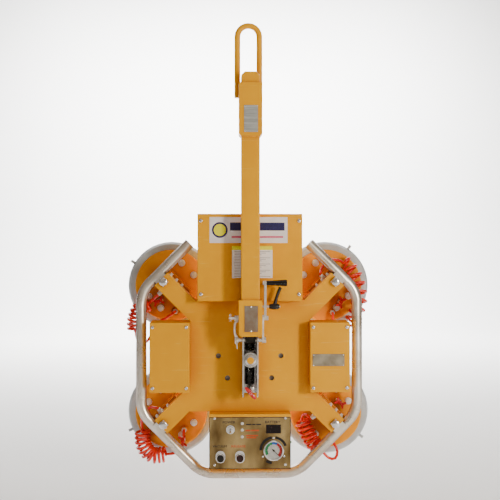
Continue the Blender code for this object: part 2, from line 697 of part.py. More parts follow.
def make_plunger():
    """The index plunger, stored drawn out, and the pull lever across its stem, clear of the channel over its travel."""
    tip = web_back
    start = tip - PLUNGER_LENGTH
    profile = [(0, start), (PLUNGER_STEM_RADIUS, start), (PLUNGER_STEM_RADIUS, channel_front)]
    profile += [(PLUNGER_RADIUS, channel_front), (PLUNGER_RADIUS, tip), (0, tip)]
    turned("index_plunger", profile, (0, plunger_z), "Y", zinc, SMALL_SIDES)
    back = channel_front - PLUNGER_TRAVEL - GAP
    front = back - RELEASE_THICKNESS
    reach = (RELEASE_REACH * math.cos(RELEASE_ANGLE), RELEASE_REACH * math.sin(RELEASE_ANGLE))
    outline = stadium((-reach[0], plunger_z - reach[1]), (reach[0], plunger_z + reach[1]), RELEASE_HALF_WIDTH)
    lever = prism("release_lever", outline, "Y", front, back, red_plastic)
    weld(lever, rod("release_boss", (0, plunger_z), "Y", front, back, RELEASE_BOSS_RADIUS, None))
    bore = PLUNGER_STEM_RADIUS + SHAFT_CLEARANCE
    cut(lever, rod("release_bore", (0, plunger_z), "Y", start, channel_front, bore, None))


def cup_centre(corner):
    side, rise = CORNERS[corner]
    return (side * cup_x, cup_mid_z + rise * CUP_SPACING_Z / 2)


def arm_point(corner, across, along):
    """A point in the XZ plane: across and along the arm, from its cup's centre, outwards."""
    side, rise = CORNERS[corner]
    share = math.sqrt(0.5)
    across_way = (-side * share, rise * share)
    along_way = (side * share, rise * share)
    centre_x, centre_z = cup_centre(corner)
    x = centre_x + across * across_way[0] + along * along_way[0]
    z = centre_z + across * across_way[1] + along * along_way[1]
    return (x, z)


def arm_outline(corner, half, start, end):
    return [
        arm_point(corner, half, start),
        arm_point(corner, half, end),
        arm_point(corner, -half, end),
        arm_point(corner, -half, start),
    ]


def star_outline():
    """The frame's middle with its four diagonal arms, one closed outline."""
    half = ARM_WIDTH / 2
    wide = FRAME_WIDTH / 2
    points = []
    for corner in ("ur", "lr", "ll", "ul"):
        side, rise = CORNERS[corner]
        level = frame_top if rise > 0 else frame_bottom
        tip_outer = arm_point(corner, half, arm_tip)
        tip_inner = arm_point(corner, -half, arm_tip)
        root_outer = (tip_outer[0] - side * rise * (tip_outer[1] - level), level)
        root_inner = (side * wide, tip_inner[1] - side * rise * (tip_inner[0] - side * wide))
        run = [root_outer, tip_outer, tip_inner, root_inner]
        points += run if side * rise > 0 else run[::-1]
    return points


def make_spreader():
    spreader = prism("spreader_frame", star_outline(), "Y", frame_front, frame_back, yellow)
    inner = ARM_WIDTH / 2 - ARM_WALL
    for corner in CORNERS:
        mouth = arm_outline(corner, inner, POCKET_INSET, GUARD_REACH)
        cut(spreader, prism("pocket_" + corner, mouth, "Y", pocket_front, pocket_back, None))
        centre = arm_point(corner, 0, GUARD_BOLT_OFFSET)
        bore = GUARD_BOLT_RADIUS + SHAFT_CLEARANCE
        start = frame_front - ARM_WALL
        cut(spreader, rod("bolt_hole_" + corner, centre, "Y", start, pocket_front + ARM_WALL, bore, None))
    bore = SWIVEL_BOLT_RADIUS + SHAFT_CLEARANCE
    cut(spreader, rod("spreader_bore", (0, swivel_z), "Y", 0, frame_back + ARM_WALL, bore, None))
    bore = PLUNGER_RADIUS + SHAFT_CLEARANCE
    start = frame_front - ARM_WALL
    for degrees in INDEX_ANGLES:
        angle = math.radians(degrees)
        centre = (PLUNGER_PITCH_RADIUS * math.sin(angle), swivel_z - PLUNGER_PITCH_RADIUS * math.cos(angle))
        hole = rod("index_hole_" + str(degrees), centre, "Y", start, frame_front + INDEX_HOLE_DEPTH, bore, None)
        cut(spreader, hole)


def guard_path():
    corners = []
    for corner in ("ul", "ll", "lr", "ur"):
        side, rise = CORNERS[corner]
        crossing = arm_point(corner, 0, GUARD_REACH)
        side_corner = (side * guard_half_width, crossing[1] - side * rise * (side * guard_half_width - crossing[0]))
        level = guard_top if rise > 0 else guard_bottom
        end_corner = (crossing[0] - side * rise * (level - crossing[1]), level)
        run = [end_corner, side_corner]
        corners += run if corner in ("ul", "lr") else run[::-1]
    return rounded([(x, guard_y, z) for x, z in corners], GUARD_BEND_RADIUS)


def make_guard():
    """The bent tube that rings the cups, open at both upper ends, with a tab into the end of each arm."""
    path = guard_path()
    guard = swept("guard_tube", path, GUARD_RADIUS, tube_steel)
    for name, end, after in (("left", path[0], path[1]), ("right", path[-1], path[-2])):
        heading = (after - end).normalized()
        bore = [end - heading * GUARD_WELD_SINK, end + heading * GUARD_BORE_DEPTH]
        cut(guard, swept("guard_bore_" + name, bore, GUARD_BORE_RADIUS, None))
    for corner in CORNERS:
        outline = arm_outline(corner, TAB_WIDTH / 2, TAB_INSET, GUARD_REACH)
        weld(guard, prism("tab_" + corner, outline, "Y", tab_front, tab_back, None))
    for corner in CORNERS:
        centre = arm_point(corner, 0, GUARD_BOLT_OFFSET)
        bore = GUARD_BOLT_RADIUS + SHAFT_CLEARANCE
        cut(guard, rod("tab_hole_" + corner, centre, "Y", frame_front, guard_y, bore, None))


def make_guard_bolts():
    for corner in CORNERS:
        centre = arm_point(corner, 0, GUARD_BOLT_OFFSET)
        head = GUARD_BOLT_HEAD / 2
        outline = arm_outline(corner, head, GUARD_BOLT_OFFSET - head, GUARD_BOLT_OFFSET + head)
        seat = frame_front - GAP
        bolt = prism("guard_bolt_" + corner, outline, "Y", seat - GUARD_BOLT_HEAD_HEIGHT, seat, zinc)
        nut = tab_back + GAP
        profile = [(0, seat - GAP), (GUARD_BOLT_RADIUS, seat - GAP), (GUARD_BOLT_RADIUS, nut)]
        profile += [(GUARD_NUT_RADIUS, nut), (GUARD_NUT_RADIUS, nut + GUARD_NUT_HEIGHT), (0, nut + GUARD_NUT_HEIGHT)]
        weld(bolt, turned("bolt_shank_" + corner, profile, centre, "Y", None, SMALL_SIDES))


def port_centre(corner):
    across, drop = PORT_PLACES[corner]
    centre_x, centre_z = cup_centre(corner)
    return (centre_x + across, centre_z + drop)


def make_cups():
    for corner in CORNERS:
        centre = cup_centre(corner)
        rim = CUP_PLATE_RADIUS - CUP_PLATE_THICKNESS / 2
        profile = [(0, plate_front), (rim, plate_front)]
        profile += [(CUP_PLATE_RADIUS, plate_front + CUP_PLATE_THICKNESS / 2), (CUP_PLATE_RADIUS, plate_back)]
        profile += [(0, plate_back)]
        plate = turned("cup_plate_" + corner, profile, centre, "Y", yellow, DISC_SIDES)
        sink = plate_front + CUP_PLATE_THICKNESS / 2
        outline = arm_outline(corner, BRACKET_WIDTH / 2, -BRACKET_LENGTH / 2, BRACKET_LENGTH / 2)
        weld(plate, prism("bracket_" + corner, outline, "Y", bracket_front, sink, None))
        port = rod("port_" + corner, port_centre(corner), "Y", plate_front - PORT_HEIGHT, sink, PORT_RADIUS, None)
        weld(plate, port)
        lip = pad_front + PAD_LIP_DEPTH
        floor = pad_front + PAD_THICKNESS
        profile = [(0, pad_front), (CUP_PLATE_RADIUS, pad_front), (PAD_RADIUS - PAD_LIP_WALL, pad_front + PAD_LIP_WALL)]
        profile += [(PAD_RADIUS, lip - PAD_LIP_WALL), (PAD_RADIUS, lip), (PAD_RADIUS - PAD_LIP_WALL / 2, lip)]
        profile += [(PAD_RADIUS - 2 * PAD_LIP_WALL, floor), (0, floor)]
        turned("suction_pad_" + corner, profile, centre, "Y", grey_rubber, DISC_SIDES)


def make_box(name, tray_outline, lid_outline, back):
    """A pressed tray open to the front and the flat lid screwed over it."""
    front = panel_back + GAP
    tray = prism(name, tray_outline, "Y", front, back, yellow)
    hollow = inset(tray_outline, BOX_WALL)
    cut(tray, prism(name + "_hollow", hollow, "Y", front - BOX_WALL, back - BOX_WALL, None))
    lid = prism(name + "_lid", lid_outline, "Y", box_front, panel_back, yellow)
    return lid


def side_box_outline(side):
    """A side box beside the frame, its inner corners cut along the arms."""
    inner = side * (FRAME_WIDTH / 2 + GAP)
    outer = inner + side * SIDE_BOX_WIDTH
    top = swivel_z + SIDE_BOX_HEIGHT / 2
    bottom = swivel_z - SIDE_BOX_HEIGHT / 2
    outline = rectangle(min(inner, outer), max(inner, outer), bottom, top)
    for corner, (corner_side, rise) in CORNERS.items():
        if corner_side == side:
            edge = arm_point(corner, -(ARM_WIDTH / 2 + GAP), 0)
            normal = (-side * math.sqrt(0.5), rise * math.sqrt(0.5))
            outline = clipped(outline, normal, edge[0] * normal[0] + edge[1] * normal[1])
    return outline, rectangle(min(inner, outer), max(inner, outer), bottom, top)


def make_boxes():
    half = UPPER_BOX_WIDTH / 2
    bottom = frame_top + GAP
    outline = rectangle(-half, half, bottom, bottom + UPPER_BOX_HEIGHT)
    bevel(make_box("upper_box", outline, outline, frame_back), LID_BEVEL)
    for name, side in (("left_box", -1), ("right_box", 1)):
        tray_outline, lid_outline = side_box_outline(side)
        bevel(make_box(name, tray_outline, lid_outline, frame_back), LID_BEVEL)


def make_inner_pieces():
    floor = frame_top + 2 * GAP + BOX_WALL
    back = frame_back - BOX_WALL - GAP
    wide, deep, high = BATTERY_SIZE
    block("battery", (-wide / 2, back - deep, floor), (wide / 2, back, floor + high), battery_black)
    middle = -(FRAME_WIDTH + SIDE_BOX_WIDTH) / 2
    wide, deep, high = PUMP_SIZE
    low = (middle - wide / 2, back - deep, swivel_z - high)
    pump = block("vacuum_pump", low, (middle + wide / 2, back, swivel_z), black_steel)
    motor_y = back - deep / 2
    top = swivel_z + PUMP_MOTOR_LENGTH
    weld(pump, rod("pump_motor", (middle, motor_y), "Z", swivel_z - GAP, top, PUMP_MOTOR_RADIUS, None, ROUND_SIDES))
    tank_y = back - TANK_RADIUS
    bottom = swivel_z - TANK_LENGTH / 2
    tank = [(0, bottom), (TANK_RADIUS / 2, bottom), (TANK_RADIUS, bottom + TANK_RADIUS / 2)]
    tank += [(TANK_RADIUS, -bottom + 2 * swivel_z - TANK_RADIUS / 2), (TANK_RADIUS / 2, -bottom + 2 * swivel_z)]
    tank += [(0, -bottom + 2 * swivel_z)]
    turned("vacuum_tank", tank, (-middle, tank_y), "Z", black_steel)


def panel_point(place):
    return (panel_left + place[0], panel_top + place[1])


def make_control_box():
    half = CONTROL_BOX_WIDTH / 2
    outline = rectangle(-half, half, panel_top - CONTROL_BOX_HEIGHT, panel_top)
    panel = make_box("control_box", outline, outline, box_front + CONTROL_BOX_DEPTH)
    panel.name = "control_panel"
    panel.data.materials.clear()
    panel.data.materials.append(panel_steel)
    holes = [(panel_point(GAUGE_PLACE), GAUGE_BODY_RADIUS)]
    for place in (VACUUM_BUTTON_PLACE, RELEASE_BUTTON_PLACE):
        holes.append((panel_point((place, BUTTON_DROP)), BUTTON_THREAD_RADIUS))
    holes += [(panel_point(TOGGLE_PLACE), TOGGLE_THREAD_RADIUS)]
    start, end = box_front - LID_THICKNESS, panel_back + LID_THICKNESS
    for index, (centre, radius) in enumerate(holes):
        bore = radius + SHAFT_CLEARANCE
        cut(panel, rod("panel_hole_" + str(index), centre, "Y", start, end, bore, None, ROUND_SIDES))
    x, z = panel_point(DISPLAY_PLACE)
    wide, high = DISPLAY_SIZE[0] / 2, DISPLAY_SIZE[1] / 2
    window = rectangle(x - wide - GAP, x + wide + GAP, z - high - GAP, z + high + GAP)
    cut(panel, prism("panel_window", window, "Y", start, end, None))
    front = box_front - DISPLAY_PROUD
    window = rectangle(x - wide, x + wide, z - high, z + high)
    display = prism("battery_display", window, "Y", front, front + DISPLAY_DEPTH, dark_window)
    bevel(display, GAP, 1)


def make_gauge():
    centre = panel_point(GAUGE_PLACE)
    seat = box_front - GAP
    front = seat - GAUGE_BEZEL_HEIGHT
    edge = GAUGE_BEZEL_CHAMFER
    floor = front + GAUGE_DIAL_DEPTH
    profile = [(0, floor), (GAUGE_DIAL_RADIUS, floor), (GAUGE_DIAL_RADIUS, front), (GAUGE_BEZEL_RADIUS - edge, front)]
    profile += [(GAUGE_BEZEL_RADIUS, front + edge), (GAUGE_BEZEL_RADIUS, seat), (GAUGE_BODY_RADIUS, seat)]
    profile += [(GAUGE_BODY_RADIUS, seat + GAUGE_BODY_DEPTH), (0, seat + GAUGE_BODY_DEPTH)]
    turned("gauge_case", profile, centre, "Y", white_case)
    glass_start = front + GAP
    glass_end = glass_start + GAUGE_GLASS_THICKNESS
    rod("gauge_glass", centre, "Y", glass_start, glass_end, GAUGE_DIAL_RADIUS - GAP, clear_glass, ROUND_SIDES)
    tip = floor - GAP
    start = tip - NEEDLE_THICKNESS
    way = (math.cos(NEEDLE_ANGLE), math.sin(NEEDLE_ANGLE))
    far = (centre[0] + NEEDLE_LENGTH * way[0], centre[1] + NEEDLE_LENGTH * way[1])
    near = (centre[0] - NEEDLE_TAIL * way[0], centre[1] - NEEDLE_TAIL * way[1])
    needle = prism("gauge_needle", stadium(near, far, NEEDLE_HALF_WIDTH), "Y", start, tip, black_plastic)
    weld(needle, rod("needle_hub", centre, "Y", tip - NEEDLE_HUB_HEIGHT, tip, NEEDLE_HUB_RADIUS, None))


def make_buttons():
    for name, place, colour in (
        ("vacuum_button", VACUUM_BUTTON_PLACE, black_plastic),
        ("release_button", RELEASE_BUTTON_PLACE, red_plastic),
    ):
        centre = panel_point((place, BUTTON_DROP))
        seat = box_front - GAP
        front = seat - BUTTON_BARREL_LENGTH
        back = seat + BUTTON_THREAD_LENGTH
        edge = BUTTON_CHAMFER
        profile = [(0, front), (BUTTON_BARREL_RADIUS - edge, front), (BUTTON_BARREL_RADIUS, front + edge)]
        profile += [(BUTTON_BARREL_RADIUS, seat), (BUTTON_THREAD_RADIUS, seat), (BUTTON_THREAD_RADIUS, back), (0, back)]
        barrel = turned(name + "_barrel", profile, centre, "Y", zinc)
        start = front - BUTTON_CAP_PROUD
        end = start + BUTTON_CAP_LENGTH
        bore = BUTTON_CAP_RADIUS + SHAFT_CLEARANCE
        well = end + BUTTON_CAP_PROUD + GAP
        cut(barrel, rod(name + "_well", centre, "Y", start, well, bore, None, ROUND_SIDES))
        profile = [(0, start), (BUTTON_CAP_RADIUS - edge, start), (BUTTON_CAP_RADIUS, start + edge)]
        profile += [(BUTTON_CAP_RADIUS, end), (0, end)]
        turned(name, profile, centre, "Y", colour)


def make_toggle():
    centre = panel_point(TOGGLE_PLACE)
    seat = box_front - GAP
    front = seat - TOGGLE_COLLAR_LENGTH
    back = seat + TOGGLE_THREAD_LENGTH
    floor = front + TOGGLE_SOCKET_DEPTH
    step = front + TOGGLE_NUT_LENGTH
    profile = [(0, floor), (TOGGLE_SOCKET_RADIUS, floor), (TOGGLE_SOCKET_RADIUS, front)]
    profile += [(TOGGLE_NUT_RADIUS, front), (TOGGLE_NUT_RADIUS, step), (TOGGLE_COLLAR_RADIUS, step)]
    profile += [(TOGGLE_COLLAR_RADIUS, seat), (TOGGLE_THREAD_RADIUS, seat)]
    profile += [(TOGGLE_THREAD_RADIUS, back), (0, back)]
    turned("power_switch", profile, centre, "Y", zinc, SMALL_SIDES)
    pivot_y = floor - GAP - TOGGLE_BALL_RADIUS
    profile = [(0, TOGGLE_BALL_RADIUS)]
    for step in range(1, TOGGLE_BALL_STEPS):
        angle = math.pi * step / (TOGGLE_BALL_STEPS + 1)
        profile.append((TOGGLE_BALL_RADIUS * math.sin(angle), TOGGLE_BALL_RADIUS * math.cos(angle)))
    tip = -TOGGLE_LEVER_LENGTH
    profile += [(TOGGLE_NECK_RADIUS, -TOGGLE_BALL_RADIUS), (TOGGLE_TIP_RADIUS, tip + TOGGLE_TIP_RADIUS)]
    profile += [(TOGGLE_NECK_RADIUS, tip), (0, tip)]
    lever = turned("power_toggle", profile, (0, 0), "Y", zinc, SMALL_SIDES)
    lever.location = (centre[0], pivot_y, centre[1])
    lever.rotation_euler = (TOGGLE_ANGLE, 0, 0)


def smooth_route(points, step):
    """Points on a smooth curve through the route's own points, about one step apart."""
    knots = [Vector(point) for point in points]
    knots = [2 * knots[0] - knots[1]] + knots + [2 * knots[-1] - knots[-2]]
    made = []
    for before, start, end, after in zip(knots, knots[1:], knots[2:], knots[3:]):
        pieces = max(2, round((end - start).length / step))
        for piece in range(pieces):
            t = piece / pieces
            square = 2 * before - 5 * start + 4 * end - after
            cube = 3 * start - before - 3 * end + after
            made.append((2 * start + (end - before) * t + square * t**2 + cube * t**3) / 2)
    made.append(knots[-2])
    return made


def beside_cup(corner, offsets, y):
    centre_x, centre_z = cup_centre(corner)
    return [(centre_x + x, y, centre_z + z) for x, z in offsets]


def make_hose(corner):
    """A red coiled hose from the arm's side to the port on its cup, as one body of the coil's outer size."""
    side, along = HOSE_ARM_ENDS[corner]
    face = side * (ARM_WIDTH / 2 + 2 * GAP)
    arm_y = frame_front + HOSE_ARM_DEPTH
    port_x, port_z = port_centre(corner)
    port_y = plate_front - PORT_HEIGHT - GAP
    ends = [arm_point(corner, face + side * reach, along) for reach in (0, HOSE_LEAD / 2, HOSE_LEAD)]
    start, lead, root = [(x, arm_y, z) for x, z in ends]
    route = [lead, root]
    route += beside_cup(corner, ARM_LOOPS[corner], (arm_y + coil_y) / 2)
    coil = beside_cup(corner, COIL_PATHS[corner], coil_y)
    coil_start, coil_end = Vector(coil[0]), Vector(coil[-1])
    route += coil + beside_cup(corner, PORT_LOOPS[corner], coil_y)
    route += [(port_x, port_y - HOSE_LEAD, port_z), (port_x, port_y - HOSE_LEAD / 2, port_z)]
    points = [Vector(start)] + smooth_route(route, 3 * HOSE_RADIUS) + [Vector((port_x, port_y, port_z))]
    first = min(range(len(points)), key=lambda index: (points[index] - coil_start).length)
    last = min(range(len(points)), key=lambda index: (points[index] - coil_end).length)
    curve = bpy.data.curves.new("coil_hose_" + corner, "CURVE")
    curve.dimensions = "3D"
    curve.bevel_depth = HOSE_RADIUS
    curve.bevel_resolution = 2
    curve.use_fill_caps = True
    spline = curve.splines.new("POLY")
    spline.points.add(len(points) - 1)
    for index, point in enumerate(points):
        spline.points[index].co = (*point, 1)
        spline.points[index].radius = COIL_RADIUS / HOSE_RADIUS if first <= index <= last else 1
    shape = bpy.data.objects.new("coil_hose_" + corner, curve)
    curve.materials.append(red_hose)
    bpy.context.scene.collection.objects.link(shape)


def main():
    for old in list(bpy.data.objects):
        bpy.data.objects.remove(old)
    make_bail()
    make_beam()
    make_sleeves()
    make_tongue()
    make_tilt_pin()
    make_links()
    make_lock_screw()
    make_crank()
    make_clamp_lever()
    make_channel()
    make_swivel_bolt()
    make_plunger()
    make_spreader()
    make_guard()
    make_guard_bolts()
    make_cups()
    make_boxes()
    make_inner_pieces()
    make_control_box()
    make_gauge()
    make_buttons()
    make_toggle()
    for corner in CORNERS:
        make_hose(corner)


main()
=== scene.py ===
# Looks for a battery vacuum lifter that hangs on its bail: paint, plate, tube, rubber, print and red coiled hoses.
# Metres, +Z up, +X to the operator's right, -Y towards the operator.

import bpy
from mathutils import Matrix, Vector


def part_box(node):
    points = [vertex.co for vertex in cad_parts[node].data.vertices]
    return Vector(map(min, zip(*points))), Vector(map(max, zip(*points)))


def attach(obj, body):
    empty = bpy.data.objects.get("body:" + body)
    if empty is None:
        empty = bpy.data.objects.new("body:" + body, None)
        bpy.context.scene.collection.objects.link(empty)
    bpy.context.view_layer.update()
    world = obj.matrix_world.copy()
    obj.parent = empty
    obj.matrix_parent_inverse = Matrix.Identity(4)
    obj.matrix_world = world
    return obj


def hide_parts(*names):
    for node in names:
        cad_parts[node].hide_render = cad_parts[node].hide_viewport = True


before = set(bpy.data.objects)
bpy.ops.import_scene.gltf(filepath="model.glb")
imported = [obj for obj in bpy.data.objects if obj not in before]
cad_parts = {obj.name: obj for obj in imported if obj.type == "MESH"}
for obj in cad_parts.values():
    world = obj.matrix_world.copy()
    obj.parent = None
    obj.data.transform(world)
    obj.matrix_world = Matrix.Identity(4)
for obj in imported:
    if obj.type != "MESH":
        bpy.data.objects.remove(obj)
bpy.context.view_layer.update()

import math

import bmesh
import bpy
from mathutils import Matrix, Vector

print("stage: frame loaded")

corners = {"ul": (-1, 1), "ur": (1, 1), "ll": (-1, -1), "lr": (1, -1)}
across = Vector((1, 0, 0))
forward = Vector((0, -1, 0))  # towards the operator
upward = Vector((0, 0, 1))

# Camera

camera = {
    "place": (-0.0567, -2.319, -0.6037),
    "turnDegrees": -1.4,  # turned a little to the right, so that the back of the object shifts left
    "lensMm": 61.2,
    "sensorMm": 36,
}


def makeCamera():
    data = bpy.data.cameras.new("viewpoint")
    data.lens = camera["lensMm"]
    data.sensor_width = camera["sensorMm"]
    viewpoint = bpy.data.objects.new("viewpoint", data)
    viewpoint.location = camera["place"]
    viewpoint.rotation_euler = (math.pi / 2, 0, math.radians(camera["turnDegrees"]))
    bpy.context.scene.collection.objects.link(viewpoint)
    bpy.context.scene.camera = viewpoint


makeCamera()

# Materials


def linearOf(hexCode):
    channels = [int(hexCode[i : i + 2], 16) / 255 for i in (1, 3, 5)]
    return tuple(c / 12.92 if c <= 0.04045 else ((c + 0.055) / 1.055) ** 2.4 for c in channels) + (1.0,)


def addNode(tree, kind, values=None, links=None, **settings):
    node = tree.nodes.new(kind)
    for key, value in settings.items():
        setattr(node, key, value)
    for key, value in (values or {}).items():
        node.inputs[key].default_value = value
    for key, socket in (links or {}).items():
        tree.links.new(socket, node.inputs[key])
    return node


def patchy(tree, patternMm, stretch=(1, 1, 1), detail=3.0):
    # A noise whose patches are about patternMm wide, drawn out along an axis by a stretch under 1
    coordinates = addNode(tree, "ShaderNodeTexCoord")
    mapping = addNode(tree, "ShaderNodeMapping", {"Scale": stretch}, {"Vector": coordinates.outputs["Object"]})
    values = {"Scale": 1000 / patternMm, "Detail": detail, "Roughness": 0.55}
    return addNode(tree, "ShaderNodeTexNoise", values, {"Vector": mapping.outputs["Vector"]}).outputs["Fac"]


def colourBetween(tree, factor, low, high, start=0.35, end=0.65):
    ramp = addNode(tree, "ShaderNodeValToRGB", links={"Fac": factor})
    for element, place, hexCode in zip(ramp.color_ramp.elements, (start, end), (low, high)):
        element.position = place
        element.color = linearOf(hexCode)
    return ramp.outputs["Color"]


def valueBetween(tree, factor, low, high):
    # Noise seldom leaves 0.3 to 0.7, so that part of it spans the whole range
    values = {"From Min": 0.3, "From Max": 0.7, "To Min": low, "To Max": high}
    return addNode(tree, "ShaderNodeMapRange", values, {"Value": factor}).outputs["Result"]


def blended(tree, factor, colour, hexCode):
    mixed = addNode(tree, "ShaderNodeMix", data_type="RGBA")
    tree.links.new(factor, mixed.inputs["Factor"])
    tree.links.new(colour, mixed.inputs[6])
    mixed.inputs[7].default_value = linearOf(hexCode)
    return mixed.outputs[2]


def paintCornerShade(tree, colour, paintedShade, reachMm, amount):
    # Painted shade: the colour turns towards a darker one where faces meet and close each other in, where shade falls
    values = {"Distance": reachMm / 1000}
    corner = addNode(tree, "ShaderNodeAmbientOcclusion", values, samples=6)
    depth = addNode(tree, "ShaderNodeMapRange", {"To Min": amount, "To Max": 0.0}, {"Value": corner.outputs["AO"]})
    return blended(tree, depth.outputs["Result"], colour, paintedShade)


def paintEdgeReflection(tree, colour, hexCode, blend):
    # Painted reflection: polished metal is given a deeper tone where it turns away from the eye, where it would mirror
    # darker surroundings
    layer = addNode(tree, "ShaderNodeLayerWeight", {"Blend": blend})
    return blended(tree, layer.outputs["Facing"], colour, hexCode)


def scuffed(tree, colour, look):
    # Short sideways rubs where slings and panels brush past
    rub = patchy(tree, look["scuffMm"], (0.07, 0.5, 1), 4.0)
    values = {"From Min": 0.63, "From Max": 0.72, "To Min": 0.0, "To Max": look["scuffAmount"]}
    factor = addNode(tree, "ShaderNodeMapRange", values, {"Value": rub})
    return blended(tree, factor.outputs["Result"], colour, look["scuff"])


def finishOf(name, look):
    # look: colours low and high, patternMm, stretch and rough (low, high), then bump, scuff, paintedShade (painted
    # shade in corners) and edge (a painted reflection at grazing angles) where the surface has them, and plain sockets
    material = bpy.data.materials.new(name)
    material.use_nodes = True
    tree = material.node_tree
    shader = tree.nodes["Principled BSDF"]
    for key, value in look.get("sockets", {}).items():
        shader.inputs[key].default_value = value
    stretch = look.get("stretch", (1, 1, 1))
    pattern = patchy(tree, look["patternMm"], stretch)
    colour = colourBetween(tree, pattern, look["low"], look["high"])
    if "scuff" in look:
        colour = scuffed(tree, colour, look)
    # Painted shade where faces meet
    if "paintedShade" in look:
        colour = paintCornerShade(tree, colour, look["paintedShade"], look["paintedShadeMm"], look["paintedShadeAmount"])
    # Painted reflection: a deeper tone at grazing angles
    if "edge" in look:
        colour = paintEdgeReflection(tree, colour, look["edge"], look["edgeReflectionBlend"])
    tree.links.new(colour, shader.inputs["Base Color"])
    grain = patchy(tree, look.get("bumpPatternMm", look["patternMm"]), stretch, 2.0)
    tree.links.new(valueBetween(tree, grain, *look["rough"]), shader.inputs["Roughness"])
    if look.get("bumpMm"):
        values = {"Strength": look.get("bumpStrength", 0.5), "Distance": look["bumpMm"] / 1000}
        bump = addNode(tree, "ShaderNodeBump", values, {"Height": grain})
        tree.links.new(bump.outputs["Normal"], shader.inputs["Normal"])
    return material


# Polyester powder coat, sprayed and baked: a fine orange peel and a soft gloss, with painted orange-brown shade in the
# corners and round the parts that stand out
yellowPowderCoat = finishOf("yellowPowderCoat", {
    "low": "#F2AA00", "high": "#F8B200", "patternMm": 90, "rough": (0.34, 0.46),
    "bumpMm": 0.10, "bumpPatternMm": 3.2, "bumpStrength": 0.3,
    "scuff": "#FFCE5C", "scuffMm": 5, "scuffAmount": 0.45,
    "paintedShade": "#A83400", "paintedShadeMm": 48, "paintedShadeAmount": 0.85,
    "sockets": {"IOR": 1.45, "Specular IOR Level": 0.3},
})
# The same coat on the turned cup plates, sprayed a little deeper, with painted brown shade in its corners
orangePowderCoat = finishOf("orangePowderCoat", {
    "low": "#F29C00", "high": "#FAA800", "patternMm": 60, "rough": (0.34, 0.46),
    "bumpMm": 0.10, "bumpPatternMm": 3.0, "bumpStrength": 0.3,
    "paintedShade": "#8A3400", "paintedShadeMm": 60, "paintedShadeAmount": 0.9,
    "sockets": {"IOR": 1.45, "Specular IOR Level": 0.3},
})
# Zinc plate on mild steel: grey white with a milky spangle, and a painted warm reflection where it turns away from the
# eye
zincPlate = finishOf("zincPlate", {
    "low": "#DCDAD4", "high": "#FAF9F6", "patternMm": 9, "rough": (0.26, 0.40),
    "bumpMm": 0.03, "bumpPatternMm": 2.0, "bumpStrength": 0.2,
    "edge": "#9A8A6C", "edgeReflectionBlend": 0.22,
    "sockets": {"Metallic": 0.75},
})
# The same plate on the swivel head, with painted dark shade in its corners
zincWithPaintedShade = finishOf("zincPlateWithPaintedShade", {
    "low": "#CDCFD0", "high": "#E6E8E9", "patternMm": 30, "rough": (0.18, 0.28),
    "paintedShade": "#33240F", "paintedShadeMm": 7, "paintedShadeAmount": 0.7,
    "sockets": {"Metallic": 0.65},
})
# Stainless tube polished along its length: faint warm streaks, and a painted brown reflection where it turns away from
# the eye
polishedTube = finishOf("polishedTube", {
    "low": "#F0E8DA", "high": "#FFFCF6", "patternMm": 60, "rough": (0.25, 0.33),
    "edge": "#6A4418", "edgeReflectionBlend": 0.52,
    "sockets": {"Metallic": 0.85},
})
# Steel blackened in oil: soft, nearly black, with worn spots
blackenedSteel = finishOf("blackenedSteel", {
    "low": "#161412", "high": "#2B2824", "patternMm": 12, "rough": (0.35, 0.6),
    "bumpMm": 0.08, "bumpPatternMm": 2.5, "bumpStrength": 0.4,
    "sockets": {"Metallic": 0.7},
})
# Glass-filled nylon, moulded: black with a fine spark-eroded texture
mouldedNylon = finishOf("mouldedNylon", {
    "low": "#0E0E0F", "high": "#1B1B1C", "patternMm": 20, "rough": (0.34, 0.48),
    "bumpMm": 0.06, "bumpPatternMm": 1.6, "bumpStrength": 0.4,
    "sockets": {"IOR": 1.53},
})
# Nitrile rubber, moulded: black, greasy and a little shiny
blackRubber = finishOf("blackNitrileRubber", {
    "low": "#0B0A08", "high": "#1E1A14", "patternMm": 10, "rough": (0.22, 0.36),
    "sockets": {"IOR": 1.52},
})
# Phenolic, pressed and polished: black and glossy
pressedPhenolic = finishOf("pressedPhenolic", {
    "low": "#060606", "high": "#0E0D0C", "patternMm": 30, "rough": (0.22, 0.32),
    "sockets": {"IOR": 1.5},
})
# Red vinyl, hot dipped over a steel lever: rounded and shiny
dippedVinyl = finishOf("dippedVinyl", {
    "low": "#C8101C", "high": "#E0202C", "patternMm": 12, "rough": (0.18, 0.3),
    "sockets": {"IOR": 1.53, "Coat Weight": 0.3},
})
# Polyurethane tube, extruded and coiled hot: slightly see-through red with a wet gloss
extrudedPolyurethane = finishOf("extrudedPolyurethane", {
    "low": "#D41208", "high": "#F83A10", "patternMm": 14, "rough": (0.16, 0.28),
    "sockets": {"IOR": 1.5, "Subsurface Weight": 0.25, "Subsurface Scale": 0.004, "Coat Weight": 0.1},
})
# Natural rubber filled with chalk, moulded: pale grey, dull and finely grained, with painted grey shade where faces
# meet
mouldedGreyRubber = finishOf("mouldedGreyRubber", {
    "low": "#B0B3B7", "high": "#C2C4C7", "patternMm": 35, "rough": (0.45, 0.62),
    "bumpMm": 0.15, "bumpPatternMm": 2.2, "bumpStrength": 0.4,
    "paintedShade": "#5E5E60", "paintedShadeMm": 10, "paintedShadeAmount": 0.4,
    "sockets": {"IOR": 1.52, "Sheen Weight": 0.1},
})
# Stainless sheet with a long vertical grain that has browned: brassy streaks, with painted dark shade in its corners
brushedPanelSheet = finishOf("brushedPanelSheet", {
    "low": "#6C5630", "high": "#C4AC78", "patternMm": 70, "stretch": (1, 1, 0.5), "rough": (0.26, 0.34),
    "bumpMm": 0.02, "bumpPatternMm": 0.9, "bumpStrength": 0.15,
    "paintedShade": "#3C2E14", "paintedShadeMm": 30, "paintedShadeAmount": 0.4,
    "sockets": {"Metallic": 0.8},
})
